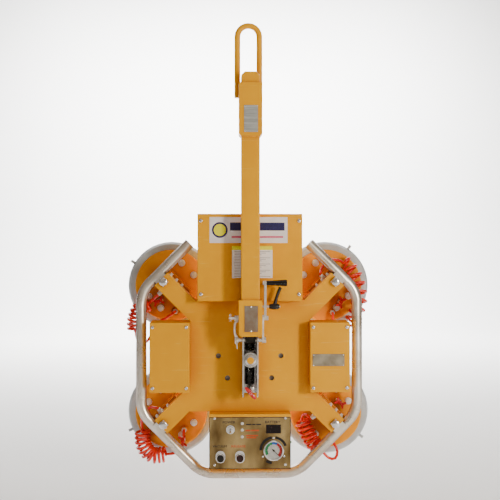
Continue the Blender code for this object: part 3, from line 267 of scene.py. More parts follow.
# Chromium plate over nickel: bright, cool and clean
chromePlate = finishOf("chromePlate", {
    "low": "#E4E6E8", "high": "#FAFBFC", "patternMm": 15, "rough": (0.16, 0.26),
    "sockets": {"Metallic": 1.0},
})
# Aluminium sheet, guillotined and left bare: pale with a cross grain
bareAluminium = finishOf("bareAluminium", {
    "low": "#B4BCBE", "high": "#D6DCDE", "patternMm": 5, "stretch": (0.1, 1, 1), "rough": (0.32, 0.5),
    "bumpMm": 0.02, "bumpPatternMm": 1.2, "bumpStrength": 0.3,
    "sockets": {"Metallic": 0.8},
})
# Aluminium sheet gone grey and scuffed at the beam's foot
scuffedAluminium = finishOf("scuffedAluminium", {
    "low": "#8C7868", "high": "#A29C90", "patternMm": 45, "rough": (0.35, 0.45),
    "bumpMm": 0.02, "bumpPatternMm": 2.0, "bumpStrength": 0.2,
    "sockets": {"Metallic": 0.6},
})
# White calendered vinyl film with a satin face
whiteVinylFilm = finishOf("whiteVinylFilm", {
    "low": "#F0ECF8", "high": "#FDFBFF", "patternMm": 40, "rough": (0.3, 0.42),
    "sockets": {"IOR": 1.5},
})
# Coated paper card, a little creased
coatedPaper = finishOf("coatedPaper", {
    "low": "#F2F5F8", "high": "#FFFFFF", "patternMm": 25, "rough": (0.5, 0.65),
    "bumpMm": 0.1, "bumpPatternMm": 14, "bumpStrength": 0.2,
    "sockets": {"IOR": 1.45},
})
# Dark glazed window over an unlit display
glazedWindow = finishOf("glazedWindow", {
    "low": "#0A0606", "high": "#1C0E0E", "patternMm": 6, "rough": (0.12, 0.2),
    "sockets": {"IOR": 1.49, "Specular IOR Level": 0.25},
})
# Float glass, clear
clearGlass = finishOf("clearGlass", {
    "low": "#F4F8F8", "high": "#FFFFFF", "patternMm": 40, "rough": (0.01, 0.03),
    "sockets": {"IOR": 1.45, "Transmission Weight": 1.0, "Alpha": 0.25},
})
# Polypropylene battery case, moulded: charcoal, matt
mouldedPolypropylene = finishOf("mouldedPolypropylene", {
    "low": "#1C1D20", "high": "#2A2B2F", "patternMm": 30, "rough": (0.45, 0.6),
    "bumpMm": 0.08, "bumpPatternMm": 2.0, "bumpStrength": 0.3,
    "sockets": {"IOR": 1.49},
})
# White enamel, stoved on the gauge dial
dialEnamel = finishOf("dialEnamel", {
    "low": "#C9CACB", "high": "#DCDDDE", "patternMm": 6, "rough": (0.35, 0.45),
    "sockets": {"IOR": 1.5},
})
# Arc-welded bead, brushed and painted over with the frame
paintedWeld = finishOf("paintedWeld", {
    "low": "#E09A08", "high": "#F6AE0C", "patternMm": 5, "rough": (0.35, 0.55),
    "bumpMm": 0.3, "bumpPatternMm": 3.0, "bumpStrength": 0.5,
    "sockets": {"IOR": 1.5},
})


# Tinplate under a clear lacquer: pale, warm and even
lacqueredTin = finishOf("lacqueredTinplate", {
    "low": "#8E8676", "high": "#B2A994", "patternMm": 30, "rough": (0.3, 0.4),
    "sockets": {"Metallic": 0.6},
})


def plainFinish(name, low, high, rough=(0.35, 0.5)):
    # A thin, even colour with a satin face
    return finishOf(name, {"low": low, "high": high, "patternMm": 3, "rough": rough, "sockets": {"IOR": 1.48}})


# Screen ink on plates, films and the dial: flat and satin
blackInk = plainFinish("blackScreenInk", "#0A0708", "#140F12")
redInk = plainFinish("redScreenInk", "#C24A14", "#D8541A")
navyInk = plainFinish("navyScreenInk", "#1C1A4E", "#28246A")
magentaInk = plainFinish("magentaScreenInk", "#D0507A", "#DC6A90")
yellowInk = plainFinish("yellowScreenInk", "#F4F000", "#FFFC10")
greyInk = plainFinish("greyScreenInk", "#A4A8AE", "#B8BCC2")
dialGreen = plainFinish("greenDialInk", "#0B7A4A", "#108A55")
dialBlue = plainFinish("blueDialInk", "#1658B4", "#1C66CC")
dialRed = plainFinish("redDialInk", "#C01C1C", "#D42424")
# Moulded plastics: one colour all through, glossier than ink
maroonPlastic = plainFinish("mouldedMaroonPlastic", "#1E0306", "#32060A", (0.15, 0.25))
mouldedRed = plainFinish("mouldedRedNylon", "#C41210", "#E01E1A", (0.22, 0.34))
greenPlastic = plainFinish("mouldedGreenPlastic", "#0A8A50", "#14A262", (0.2, 0.3))
lampLens = plainFinish("frostedLampLens", "#E8E6DC", "#FBFAF4", (0.18, 0.28))


def atCorners(name):
    return [name + "_" + corner for corner in corners]


nodeFinishes = {
    yellowPowderCoat: [
        "bail", "lifting_beam", "head_sleeve", "foot_sleeve", "spreader_frame", "upper_box", "upper_box_lid",
        "left_box", "left_box_lid", "right_box", "right_box_lid", "control_box",
    ],
    orangePowderCoat: atCorners("cup_plate"),
    zincPlate: [
        "tilt_pin", "tilt_pin_collar", "safety_link_left", "safety_link_right", "lock_screw", "lock_nut",
        "crank_arm", "grip_spindle", "swivel_nut", "index_plunger", *atCorners("guard_bolt"),
    ],
    zincWithPaintedShade: ["swivel_channel", "swivel_washer", "swivel_bolt"],
    polishedTube: ["guard_tube"],
    blackenedSteel: ["beam_tongue", "vacuum_pump", "vacuum_tank"],
    pressedPhenolic: ["crank_grip", "vacuum_button"],
    mouldedNylon: ["clamp_lever", "gauge_needle"],
    dippedVinyl: ["release_lever"],
    maroonPlastic: ["release_button"],
    mouldedGreyRubber: atCorners("suction_pad"),
    brushedPanelSheet: ["control_panel"],
    chromePlate: ["gauge_case", "vacuum_button_barrel", "release_button_barrel", "power_switch", "power_toggle"],
    glazedWindow: ["battery_display"],
    clearGlass: ["gauge_glass"],
    mouldedPolypropylene: ["battery"],
    extrudedPolyurethane: atCorners("coil_hose"),
}
for finish, nodeNames in nodeFinishes.items():
    for nodeName in nodeNames:
        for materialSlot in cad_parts[nodeName].material_slots:
            materialSlot.material = finish

# Radius of the rounded edge on each node that has one
softEdged = {
    "lifting_beam": 0.0035, "head_sleeve": 0.0016, "foot_sleeve": 0.0016, "spreader_frame": 0.002,
    "swivel_channel": 0.0006, "crank_arm": 0.001, "control_panel": 0.0005, "upper_box_lid": 0.0008,
    "left_box_lid": 0.0008, "right_box_lid": 0.0008,
    **dict.fromkeys(atCorners("guard_bolt"), 0.0016), **dict.fromkeys(atCorners("cup_plate"), 0.001),
}
edging = {"smoothDegrees": 32, "roundDegrees": 40, "segments": 2, "seamGap": 0.00002}


def makeSmoothing():
    # One shared node group: drops the stored normals, then shades smooth across all but the sharp edges
    group = bpy.data.node_groups.new("smoothByAngle", "GeometryNodeTree")
    group.interface.new_socket("Geometry", in_out="INPUT", socket_type="NodeSocketGeometry")
    group.interface.new_socket("Geometry", in_out="OUTPUT", socket_type="NodeSocketGeometry")
    entry = addNode(group, "NodeGroupInput")
    bare = addNode(group, "GeometryNodeRemoveAttribute", {"Name": "custom_normal"},
                   {"Geometry": entry.outputs["Geometry"]})
    angle = addNode(group, "GeometryNodeInputMeshEdgeAngle")
    sharp = addNode(group, "FunctionNodeCompare", {1: math.radians(edging["smoothDegrees"])},
                    {0: angle.outputs["Unsigned Angle"]}, data_type="FLOAT", operation="GREATER_THAN")
    faces = addNode(group, "GeometryNodeSetShadeSmooth", {"Shade Smooth": True},
                    {"Geometry": bare.outputs["Geometry"]}, domain="FACE")
    edges = addNode(group, "GeometryNodeSetShadeSmooth", {"Shade Smooth": False},
                    {"Geometry": faces.outputs["Geometry"], "Selection": sharp.outputs["Result"]}, domain="EDGE")
    addNode(group, "NodeGroupOutput", links={"Geometry": edges.outputs["Geometry"]})
    return group


def roundOff(node, radius, smoothing):
    # The rounded edge of folded, cut or cast stock, where the solid has a sharp one
    node.modifiers.new("closeSeams", "WELD").merge_threshold = edging["seamGap"]
    if radius:
        rounding = node.modifiers.new("roundEdges", "BEVEL")
        rounding.width = radius
        rounding.segments = edging["segments"]
        rounding.limit_method = "ANGLE"
        rounding.angle_limit = math.radians(edging["roundDegrees"])
    node.modifiers.new("smoothByAngle", "NODES").node_group = smoothing
    node.modifiers.new("flatFaces", "WEIGHTED_NORMAL").keep_sharp = True


smoothing = makeSmoothing()
for nodeName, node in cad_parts.items():
    roundOff(node, softEdged.get(nodeName, 0), smoothing)

print("stage: finishes on the solids")

# Mesh tools


def facing(centre, direction, roll=0.0):
    # Turns local +Z to the direction and moves the origin to the centre
    turn = Vector(direction).to_track_quat("Z", "Y").to_matrix().to_4x4()
    return Matrix.Translation(centre) @ turn @ Matrix.Rotation(roll, 4, "Z")


def upright(x, depth, z):
    # Local +X stays across, +Y turns up and +Z points at the operator
    return Matrix.Translation((x, depth, z)) @ Matrix.Rotation(math.pi / 2, 4, "X")


def middleOf(nodeName):
    low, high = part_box(nodeName)
    return (low + high) / 2


def frontOf(nodeName):
    return Vector((middleOf(nodeName).x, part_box(nodeName)[0].y, middleOf(nodeName).z))


def onCircle(radius, degrees):
    return radius * math.cos(math.radians(degrees)), radius * math.sin(math.radians(degrees))


def roundOutline(radius, steps):
    return [onCircle(radius, 360 * step / steps) for step in range(steps)]


def joinRings(builder, rings):
    for low, high in zip(rings, rings[1:]):
        for index in range(len(low)):
            after = (index + 1) % len(low)
            builder.faces.new([low[index], low[after], high[after], high[index]])


def closeSeam(builder):
    # Joins the first and last ring of a profile that ends where it starts
    bmesh.ops.remove_doubles(builder, verts=builder.verts, dist=1e-6)


def addTurned(builder, profile, place, sides=32):
    # profile: (radius, height) points, from one end on the axis to the other
    rings = []
    for radius, height in profile:
        points = roundOutline(radius, sides) if radius else [(0, 0)]
        rings.append([builder.verts.new(place @ Vector((x, y, height))) for x, y in points])
    for low, high in zip(rings, rings[1:]):
        for side in range(sides):
            after = (side + 1) % sides
            face = [low[side % len(low)], low[after % len(low)], high[after % len(high)], high[side % len(high)]]
            kept = [vert for index, vert in enumerate(face) if vert not in face[:index]]
            if len(kept) > 2:
                builder.faces.new(kept)


def rod(radius, low, high):
    # The profile of a plain length, round or hexagonal by its number of sides
    return [(0, low), (radius, low), (radius, high), (0, high)]


# Domed ends, as profiles in shares of their radius and height
domes = {
    "socketScrew": [(0, 0), (1, 0), (1, 0.25), (0.86, 0.7), (0.6, 0.95), (0.42, 1), (0.4, 0.45), (0, 0.4)],
    "rivet": [(0, 0), (1, 0), (0.9, 0.5), (0.5, 0.9), (0, 1)],
    "boltCrown": [(0, 0), (1, 0), (0.95, 0.35), (0.78, 0.72), (0.45, 0.95), (0, 1)],
    "leverCrown": [(0, 0), (1, 0), (0.94, 0.5), (0.7, 0.85), (0.35, 0.98), (0, 1)],
    "springCap": [(0, -1), (1, -1), (1, 0.4), (0.85, 0.8), (0.5, 1), (0, 1.05)],
}


def addDome(builder, kind, place, radius, height, sides=24):
    addTurned(builder, [(radius * out, height * up) for out, up in domes[kind]], place, sides)


def addSlab(builder, outline, low, high, place):
    # A closed outline of (x, y) points raised from low to high
    bottom = [builder.verts.new(place @ Vector((x, y, low))) for x, y in outline]
    top = [builder.verts.new(place @ Vector((x, y, high))) for x, y in outline]
    builder.faces.new(bottom)
    builder.faces.new(top)
    joinRings(builder, [bottom, top])


def addTube(builder, path, radii, sides=12):
    # A round tube through the path, with its ends closed
    rings = []
    side = None
    for index, point in enumerate(path):
        before = path[max(index - 1, 0)]
        after = path[min(index + 1, len(path) - 1)]
        heading = (after - before).normalized()
        side = heading.orthogonal().normalized() if side is None else (side - heading * side.dot(heading)).normalized()
        other = heading.cross(side)
        radius = radii[index] if isinstance(radii, list) else radii
        rings.append([builder.verts.new(point + side * x + other * y) for x, y in roundOutline(radius, sides)])
    builder.faces.new(rings[0])
    builder.faces.new(rings[-1])
    joinRings(builder, rings)


def ovalOutline(width, height, radius, steps=6):
    # A rectangle with round corners, about the origin
    points = []
    for right, rise, start in ((1, 1, 0), (-1, 1, 90), (-1, -1, 180), (1, -1, 270)):
        for step in range(steps + 1):
            x, y = onCircle(radius, start + 90 * step / steps)
            points.append((right * (width / 2 - radius) + x, rise * (height / 2 - radius) + y))
    return points


def ringSector(inner, outer, start, end, steps=24):
    # The outline of a band between two radii, from one angle to another, in degrees
    points = []
    for radius, first, last in ((outer, start, end), (inner, end, start)):
        points += [onCircle(radius, first + (last - first) * step / steps) for step in range(steps + 1)]
    return points


def makePiece(name, builder, material, body="pad_frame", creaseDegrees=35, edge=0.0):
    bmesh.ops.recalc_face_normals(builder, faces=builder.faces)
    mesh = bpy.data.meshes.new(name)
    builder.to_mesh(mesh)
    builder.free()
    mesh.materials.append(material)
    mesh.shade_smooth()
    mesh.set_sharp_from_angle(angle=math.radians(creaseDegrees))
    piece = bpy.data.objects.new(name, mesh)
    bpy.context.scene.collection.objects.link(piece)
    if edge:
        rounding = piece.modifiers.new("roundEdges", "BEVEL")
        rounding.width = edge
        rounding.segments = edging["segments"]
        rounding.limit_method = "ANGLE"
    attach(piece, body)
    return piece


spreaderLow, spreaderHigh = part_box("spreader_frame")
cupCentres = {}
for corner in corners:
    low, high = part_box("suction_pad_" + corner)
    cupCentres[corner] = ((low.x + high.x) / 2, (low.z + high.z) / 2)
plateThickness = 0.006
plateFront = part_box("cup_plate_ul")[1].y - plateThickness


def besideCup(corner, x, z, depth):
    return Vector((cupCentres[corner][0] + x, depth, cupCentres[corner][1] + z))


def armPoint(corner, side, along, depth):
    # side: off the arm's middle line; along: outwards from the cup's centre
    right, rise = corners[corner]
    share = math.sqrt(0.5)
    return besideCup(corner, share * (-right * side + right * along), share * (rise * side + rise * along), depth)


# Red coiled hoses, from each arm's side to the port on its cup plate

hose = {
    "radius": 0.004,
    "coilRadius": 0.0198,  # from the coil's middle to the middle of the tube
    "armHalf": 0.025,
    "armDepth": 0.035,  # behind the frame's front
    "standoff": 0.027,  # of the coil's middle behind the frame's back
    "lead": 0.014,
    "fineStep": 0.002,
    "plainStep": 5,  # a point every 10 mm on the plain ends
    "portHeight": 0.006,
    "gap": 0.0003,
    "pointsPerTurn": 20,
}
# Each hose by points beside its cup's centre, from the arm's side and its place along the arm to the port
hosePaths = {
    "ul": {
        "armEnd": (-1, 0.0064), "port": (0.0125, -0.0745), "pitch": 0.0115,
        "armLoop": [(-0.0445, -0.034)],
        "coil": [(-0.062, -0.049), (-0.088, -0.064), (-0.1015, -0.096), (-0.100, -0.130)],
        "portLoop": [(-0.094, -0.154), (-0.076, -0.165), (-0.058, -0.145), (-0.045, -0.112), (-0.015, -0.093)],
    },
    "ur": {
        "armEnd": (1, 0.0064), "port": (0.0175, -0.0785), "pitch": 0.0250,
        "armLoop": [(-0.0165, 0.0525), (0.0045, 0.0745)],
        "coil": [(0.042, 0.070), (0.066, 0.049), (0.087, 0.012), (0.094, -0.035), (0.084, -0.078), (0.063, -0.120)],
        "portLoop": [(0.053, -0.140), (0.034, -0.140), (0.020, -0.115)],
    },
    "ll": {
        "armEnd": (-1, 0.0064), "port": (0.0375, -0.0495), "pitch": 0.0112,
        "armLoop": [(-0.058, 0.022), (-0.080, -0.008)],
        "coil": [(-0.080, -0.045), (-0.077, -0.088), (-0.053, -0.117), (-0.012, -0.115)],
        "portLoop": [(0.014, -0.111), (0.034, -0.090)],
    },
    "lr": {
        "armEnd": (1, -0.030), "port": (0.018, -0.083), "pitch": 0.0128,
        "armLoop": [(-0.066, 0.002)],
        "coil": [(-0.072, -0.015), (-0.060, -0.047), (-0.042, -0.082), (-0.012, -0.112)],
        "portLoop": [(0.006, -0.129), (0.024, -0.130), (0.030, -0.108)],
    },
}


def smoothRoute(points, step):
    knots = [2 * points[0] - points[1]] + points + [2 * points[-1] - points[-2]]
    made = []
    for before, start, end, after in zip(knots, knots[1:], knots[2:], knots[3:]):
        pieces = max(2, round((end - start).length / step))
        for piece in range(pieces):
            t = piece / pieces
            square = 2 * before - 5 * start + 4 * end - after
            cube = 3 * start - before - 3 * end + after
            made.append((2 * start + (end - before) * t + square * t**2 + cube * t**3) / 2)
    return made + [points[-1]]


def hosePort(corner):
    return besideCup(corner, *hosePaths[corner]["port"], plateFront - hose["portHeight"] - hose["gap"])


def hoseLine(corner):
    # The hose's own middle line: plain ends and a helix along the coil
    path = hosePaths[corner]
    side, along = path["armEnd"]
    armY = spreaderLow.y + hose["armDepth"]
    coilY = spreaderHigh.y + hose["standoff"]
    face = hose["armHalf"] + 2 * hose["gap"]
    start, lead, root = [armPoint(corner, side * (face + reach), along, armY) for reach in
                         (0, hose["lead"] / 2, hose["lead"])]
    port = hosePort(corner)
    armLoop = [besideCup(corner, x, z, (armY + coilY) / 2) for x, z in path["armLoop"]]
    coil = [besideCup(corner, x, z, coilY) for x, z in path["coil"]]
    portLoop = [besideCup(corner, x, z, coilY) for x, z in path["portLoop"]]
    ends = [port + forward * hose["lead"], port + forward * hose["lead"] / 2]
    fine = smoothRoute([lead, root] + armLoop + coil + portLoop + ends, hose["fineStep"])
    first = min(range(len(fine)), key=lambda index: (fine[index] - coil[0]).length)
    last = min(range(len(fine)), key=lambda index: (fine[index] - coil[-1]).length)
    line = [start] + fine[: first : hose["plainStep"]]
    run = fine[first : last + 1]
    lengths = [0.0]
    for before, after in zip(run, run[1:]):
        lengths.append(lengths[-1] + (after - before).length)
    turns = round(lengths[-1] / path["pitch"])
    count = turns * hose["pointsPerTurn"]
    place = 0
    for step in range(count + 1):
        at = lengths[-1] * step / count
        while place < len(run) - 2 and lengths[place + 1] < at:
            place += 1
        share = (at - lengths[place]) / (lengths[place + 1] - lengths[place])
        centre = run[place].lerp(run[place + 1], share)
        heading = (run[place + 1] - run[place]).normalized()
        sideWay = heading.cross(forward).normalized()
        outWay = sideWay.cross(heading)
        turn = math.tau * turns * step / count
        ramp = min(1.0, 2 * step / hose["pointsPerTurn"], 2 * (count - step) / hose["pointsPerTurn"])
        swing = hose["coilRadius"] * ramp * ramp * (3 - 2 * ramp)
        line.append(centre + swing * (sideWay * math.cos(turn) + outWay * math.sin(turn)))
    line += fine[last + 1 :: hose["plainStep"]]
    if (line[-1] - fine[-1]).length > 0.001:
        line.append(fine[-1])
    return line + [port]


def makeHose(corner):
    line = hoseLine(corner)
    curve = bpy.data.curves.new("hose_" + corner, "CURVE")
    curve.dimensions = "3D"
    curve.bevel_depth = hose["radius"]
    curve.bevel_resolution = 3
    curve.use_fill_caps = True
    spline = curve.splines.new("POLY")
    spline.points.add(len(line) - 1)
    for point, place in zip(spline.points, line):
        point.co = (*place, 1)
    spline.use_smooth = True
    curve.materials.append(extrudedPolyurethane)
    piece = bpy.data.objects.new("hose_" + corner, curve)
    bpy.context.scene.collection.objects.link(piece)
    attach(piece, "pad_frame")
    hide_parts("coil_hose_" + corner)
    return piece, line


def lengthOf(line):
    return sum((after - before).length for before, after in zip(line, line[1:]))


fitting = {
    "collarRadius": 0.0062, "collarLength": 0.007, "hexRadius": 0.0078, "hexLength": 0.006, "chamfer": 0.001,
    "mouthRadius": 0.0043, "mouthDepth": 0.002,
}


def makeHoseFittings(corner, line):
    # A push-in fitting at each end: a hexagon against the metal and a collar round the tube
    builder = bmesh.new()
    collar, mouth, base = fitting["collarRadius"], fitting["mouthRadius"], fitting["hexLength"]
    tip = base + fitting["collarLength"]
    floor = tip - fitting["mouthDepth"]
    profile = [(0, base), (collar, base), (collar, tip - fitting["chamfer"]), (collar - fitting["chamfer"], tip)]
    for end, after in ((line[0], line[1]), (line[-1], line[-2])):
        place = facing(end, after - end)
        addTurned(builder, rod(fitting["hexRadius"], 0, base), place, 6)
        addTurned(builder, profile + [(mouth, tip), (mouth, floor), (0, floor)], place, 20)
    return makePiece("hose_fittings_" + corner, builder, zincPlate)


hoseLengths = {}
for corner in corners:
    hosePiece, hoseMiddle = makeHose(corner)
    fittings = makeHoseFittings(corner, hoseMiddle)
    hoseLengths[corner] = lengthOf(hoseMiddle)
print("stage: hoses", {corner: round(length, 3) for corner, length in hoseLengths.items()})

# Screws, bolts, plugs and valves

lidScrews = {
    "upper_box_lid": {"inset": (0.0095, 0.019), "radius": 0.0056, "height": 0.0034},
    "left_box_lid": {"inset": (0.0085, 0.0125), "radius": 0.0052, "height": 0.0034},
    "right_box_lid": {"inset": (0.0085, 0.0125), "radius": 0.0052, "height": 0.0034},
    "control_panel": {"inset": (0.0150, 0.0115), "radius": 0.0042, "height": 0.0028},
}


def makeLidScrews(lid, look):
    low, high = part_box(lid)
    builder = bmesh.new()
    insetX, insetZ = look["inset"]
    for x in (low.x + insetX, high.x - insetX):
        for z in (low.z + insetZ, high.z - insetZ):
            addDome(builder, "socketScrew", facing((x, low.y, z), forward), look["radius"], look["height"])
    makePiece(lid + "_screws", builder, chromePlate)


plateBolts = {
    "circle": 0.072, "spreadDegrees": 20, "hexRadius": 0.0085, "height": 0.0062,
    "washerRadius": 0.0102, "washer": 0.0014, "chamfer": 0.0004,
}


def makePlateBolts(corner):
    # Two bolts each side of the arm, each on its washer, hold the suction pad to its plate
    builder = bmesh.new()
    wide, chamfer, washer = plateBolts["washerRadius"], plateBolts["chamfer"], plateBolts["washer"]
    washerLine = [(0, 0), (wide - 0.0003, 0), (wide, chamfer), (wide, washer), (0, washer)]
    hexRadius, height = plateBolts["hexRadius"], plateBolts["height"]
    headLine = [(0, washer), (hexRadius, washer), (hexRadius, washer + height * 0.85)]
    headLine += [(hexRadius * 0.84, washer + height), (0, washer + height)]
    right, rise = corners[corner]
    armDegrees = math.degrees(math.atan2(rise, right))
    for turn in (90, 270):
        for spread in (-plateBolts["spreadDegrees"], plateBolts["spreadDegrees"]):
            degrees = armDegrees + turn + spread
            middle = besideCup(corner, *onCircle(plateBolts["circle"], degrees), plateFront)
            place = facing(middle, forward, math.radians(degrees))
            addTurned(builder, washerLine, place, 28)
            addTurned(builder, headLine, place, 6)
    makePiece("plate_bolts_" + corner, builder, zincPlate, creaseDegrees=30)


armPlugs = {
    "rows": (0.020, -0.001, -0.022), "sides": {"ul": 1, "ur": 1, "ll": -1, "lr": -1}, "depth": 0.020,
    "hexRadius": 0.0052, "length": 0.0075, "tipRadius": 0.0036, "chamfer": 0.0006,
}


def makeArmPlugs(corner):
    # A row of vacuum plugs along one side of each arm
    builder = bmesh.new()
    side, depth = armPlugs["sides"][corner], spreaderLow.y + armPlugs["depth"]
    length, tip, chamfer = armPlugs["length"], armPlugs["tipRadius"], armPlugs["chamfer"]
    profile = [(0, length / 2), (tip, length / 2), (tip, length - chamfer), (tip - chamfer, length), (0, length)]
    for along in armPlugs["rows"]:
        base = armPoint(corner, side * hose["armHalf"], along, depth)
        place = facing(base, armPoint(corner, side * (hose["armHalf"] + 1), along, depth) - base)
        addTurned(builder, rod(armPlugs["hexRadius"], 0, length / 2), place, 6)
        addTurned(builder, profile, place, 16)
    makePiece("arm_plugs_" + corner, builder, zincPlate)


padTab = {
    "degrees": {"ul": 149, "ur": 57, "ll": 205, "lr": -36}, "length": 0.013, "width": 0.008, "thickness": 0.0056,
    "rounding": 0.0012, "fromBack": 0.006, "rooted": 0.001,
}


def makePadTab(corner):
    # The rubber tab that peels a pad off its panel
    padLow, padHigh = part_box("suction_pad_" + corner)
    x, z = onCircle(1, padTab["degrees"][corner])
    outward = Vector((x, 0, z))
    reach = (padHigh.x - padLow.x) / 2 - padTab["rooted"]
    centre = besideCup(corner, 0, 0, padHigh.y - padTab["fromBack"]) + outward * reach
    outline = ovalOutline(padTab["thickness"], padTab["width"], padTab["rounding"])
    builder = bmesh.new()
    addSlab(builder, outline, 0, padTab["length"], facing(centre, outward))
    makePiece("pad_tab_" + corner, builder, mouldedGreyRubber, "pad_frame", edge=0.0008)


# A domed crown on each guard bolt's head
crown = {"radius": 0.0116, "height": 0.0032}


def makeBoltCrowns():
    builder = bmesh.new()
    for bolt in atCorners("guard_bolt"):
        addDome(builder, "boltCrown", facing(frontOf(bolt), forward), crown["radius"], crown["height"], 32)
    makePiece("guard_bolt_crowns", builder, chromePlate)


valve = {
    "places": {"ul": (-0.0350, -0.0445), "ur": (0.0400, -0.0480), "ll": (0.0345, -0.0780), "lr": (0.0380, 0.0300)},
    "turns": {"ul": 20, "ur": 65, "ll": 100, "lr": -35},
    "bodyRadius": 0.0075,
    "bodyHeight": 0.014,
    "stemRadius": 0.0032,
    "stemHeight": 0.030,
    "spoutRadius": 0.0042,
    "spoutReach": 0.013,
    "wingReach": 0.0175,
    "wingWide": 0.0112,
    "wingThick": 0.0050,
    "waist": 0.0042,
    "hubRadius": 0.0058,
}


def makeValve(corner):
    # A small ball valve on the cup plate
    place = facing(besideCup(corner, *valve["places"][corner], plateFront), forward,
                   math.radians(valve["turns"][corner]))
    builder = bmesh.new()
    radius, height, stem = valve["bodyRadius"], valve["bodyHeight"], valve["stemRadius"]
    addTurned(builder, rod(radius, 0, height * 0.45), place, 6)
    profile = [(0, height * 0.45), (radius * 0.82, height * 0.45), (radius * 0.82, height - 0.001)]
    profile += [(radius * 0.7, height), (stem, height), (stem, valve["stemHeight"]), (0, valve["stemHeight"])]
    addTurned(builder, profile, place, 24)
    radius, reach = valve["spoutRadius"], valve["spoutReach"]
    profile = [(0, -reach), (radius - 0.0006, -reach), (radius, 0.0008 - reach), (radius, reach - 0.0008)]
    spout = place @ Matrix.Translation((0, 0, height * 0.7)) @ Matrix.Rotation(math.pi / 2, 4, "Y")
    addTurned(builder, profile + [(radius - 0.0006, reach), (0, reach)], spout, 18)
    makePiece("valve_body_" + corner, builder, zincPlate)
    # Its red butterfly handle: two wings with a notch at each tip, and a domed hub
    builder = bmesh.new()
    low = valve["stemHeight"] - 0.001
    high = low + valve["wingThick"]
    waist, wide, tip = valve["waist"], valve["wingWide"], valve["wingReach"] - 0.001
    wing = [(waist, -waist), (tip - 0.004, -wide), (tip, -wide * 0.85), (tip - 0.005, 0)]
    wing += [(tip, wide * 0.85), (tip - 0.004, wide), (waist, waist)]
    addSlab(builder, [(side * x, side * y) for side in (1, -1) for x, y in wing], low, high, place)
    radius = valve["hubRadius"]
    profile = [(0, low), (radius, low), (radius, high), (radius - 0.0008, high + 0.0012), (0, high + 0.0016)]
    addTurned(builder, profile, place, 24)
    makePiece("valve_handle_" + corner, builder, mouldedRed, "pad_frame", edge=0.0012)


for lid, look in lidScrews.items():
    makeLidScrews(lid, look)
for corner in corners:
    makePlateBolts(corner)
    makeArmPlugs(corner)
    makePadTab(corner)
    makeValve(corner)
makeBoltCrowns()
print("stage: screws, bolts, plugs and valves")

# Steel bushings in the index holes, dark inside: their darker lining and floor are partly painted shade for the depth
# of the holes

bushing = {
    "circle": 0.087, "angles": (-90, -45, 0, 45, 90), "outer": 0.00728, "wall": 0.00016, "depth": 0.0130,
    "sunk": 0.0002, "floor": 0.0006,
}


def makeBushings():
    centreZ = middleOf("swivel_bolt").z
    outer, inner, sunk = bushing["outer"], bushing["outer"] - bushing["wall"], -bushing["sunk"]
    top, base = -bushing["depth"], -bushing["depth"] - bushing["floor"]
    builder = bmesh.new()
    for degrees in bushing["angles"]:
        x, z = onCircle(bushing["circle"], degrees - 90)
        addTurned(builder, [(0, top), (inner, top), (inner, sunk), (outer, sunk), (outer, base), (0, base)],
                  facing((x, spreaderLow.y, centreZ + z), forward), 28)
    makePiece("index_bushings", builder, scuffedAluminium)


# A rubber grommet round one hose's port
grommet = {"corner": "ul", "outer": 0.0112, "inner": 0.0080, "height": 0.0050, "rounding": 0.0016, "foot": 0.001}


def makeGrommet():
    inner, outer, height = grommet["inner"], grommet["outer"], grommet["height"]
    rounding, foot = grommet["rounding"], grommet["foot"]
    profile = [(inner, 0), (outer - foot, 0), (outer, foot), (outer, height - rounding)]
    profile += [(outer - rounding, height), (inner, height), (inner, 0)]
    builder = bmesh.new()
    corner = grommet["corner"]
    addTurned(builder, profile, facing(besideCup(corner, *hosePaths[corner]["port"], plateFront), forward), 28)
    closeSeam(builder)
    makePiece("port_grommet", builder, blackRubber, "pad_frame")


makeBushings()
makeGrommet()

# Plates, films and print; a place is left, right, bottom and top


def addFlat(builder, left, right, bottom, top, front, thickness, radius=0.0004):
    place = upright((left + right) / 2, front, (bottom + top) / 2)
    addSlab(builder, ovalOutline(right - left, top - bottom, radius), 0, thickness, place)


def makeFlat(name, place, front, thickness, material, body="pad_frame", radius=0.0004,
             edge=0.0):
    builder = bmesh.new()
    addFlat(builder, *place, front, thickness, radius)
    makePiece(name, builder, material, body, edge=edge)


plates = {
    "head_plate": {
        "place": (-0.0175, 0.0196, -0.2906, -0.2191), "thickness": 0.0009, "on": "head_sleeve", "body": "beam",
        "finish": bareAluminium, "rivet": (0.0015, 0.0008), "x": (-0.0145, 0.0166), "z": (-0.2876, -0.2221),
    },
    "foot_plate": {
        "place": (-0.0162, 0.0196, -0.8213, -0.7522), "thickness": 0.0011, "on": "foot_sleeve", "body": "beam",
        "finish": scuffedAluminium, "rivet": (0.0026, 0.0014), "x": (0.0011,), "z": (-0.8190, -0.7545),
    },
    "side_plate": {
        "place": (0.1713, 0.2592, -0.9216, -0.8885), "thickness": 0.0008, "on": "right_box_lid", "body": "pad_frame",
        "finish": lacqueredTin, "rivet": (0.0019, 0.0010), "x": (0.1745, 0.2560), "z": (-0.9190, -0.8911),
    },
}


def makePlate(name, look):
    # A blank plate with a domed rivet at each x and z
    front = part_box(look["on"])[0].y
    makeFlat(name, look["place"], front, look["thickness"], look["finish"], look["body"], 0.0008, 0.0002)
    builder = bmesh.new()
    for x in look["x"]:
        for z in look["z"]:
            addDome(builder, "rivet", facing((x, front - look["thickness"], z), forward), *look["rivet"], 20)
    makePiece(name + "_rivets", builder, chromePlate, look["body"])


for name, look in plates.items():
    makePlate(name, look)

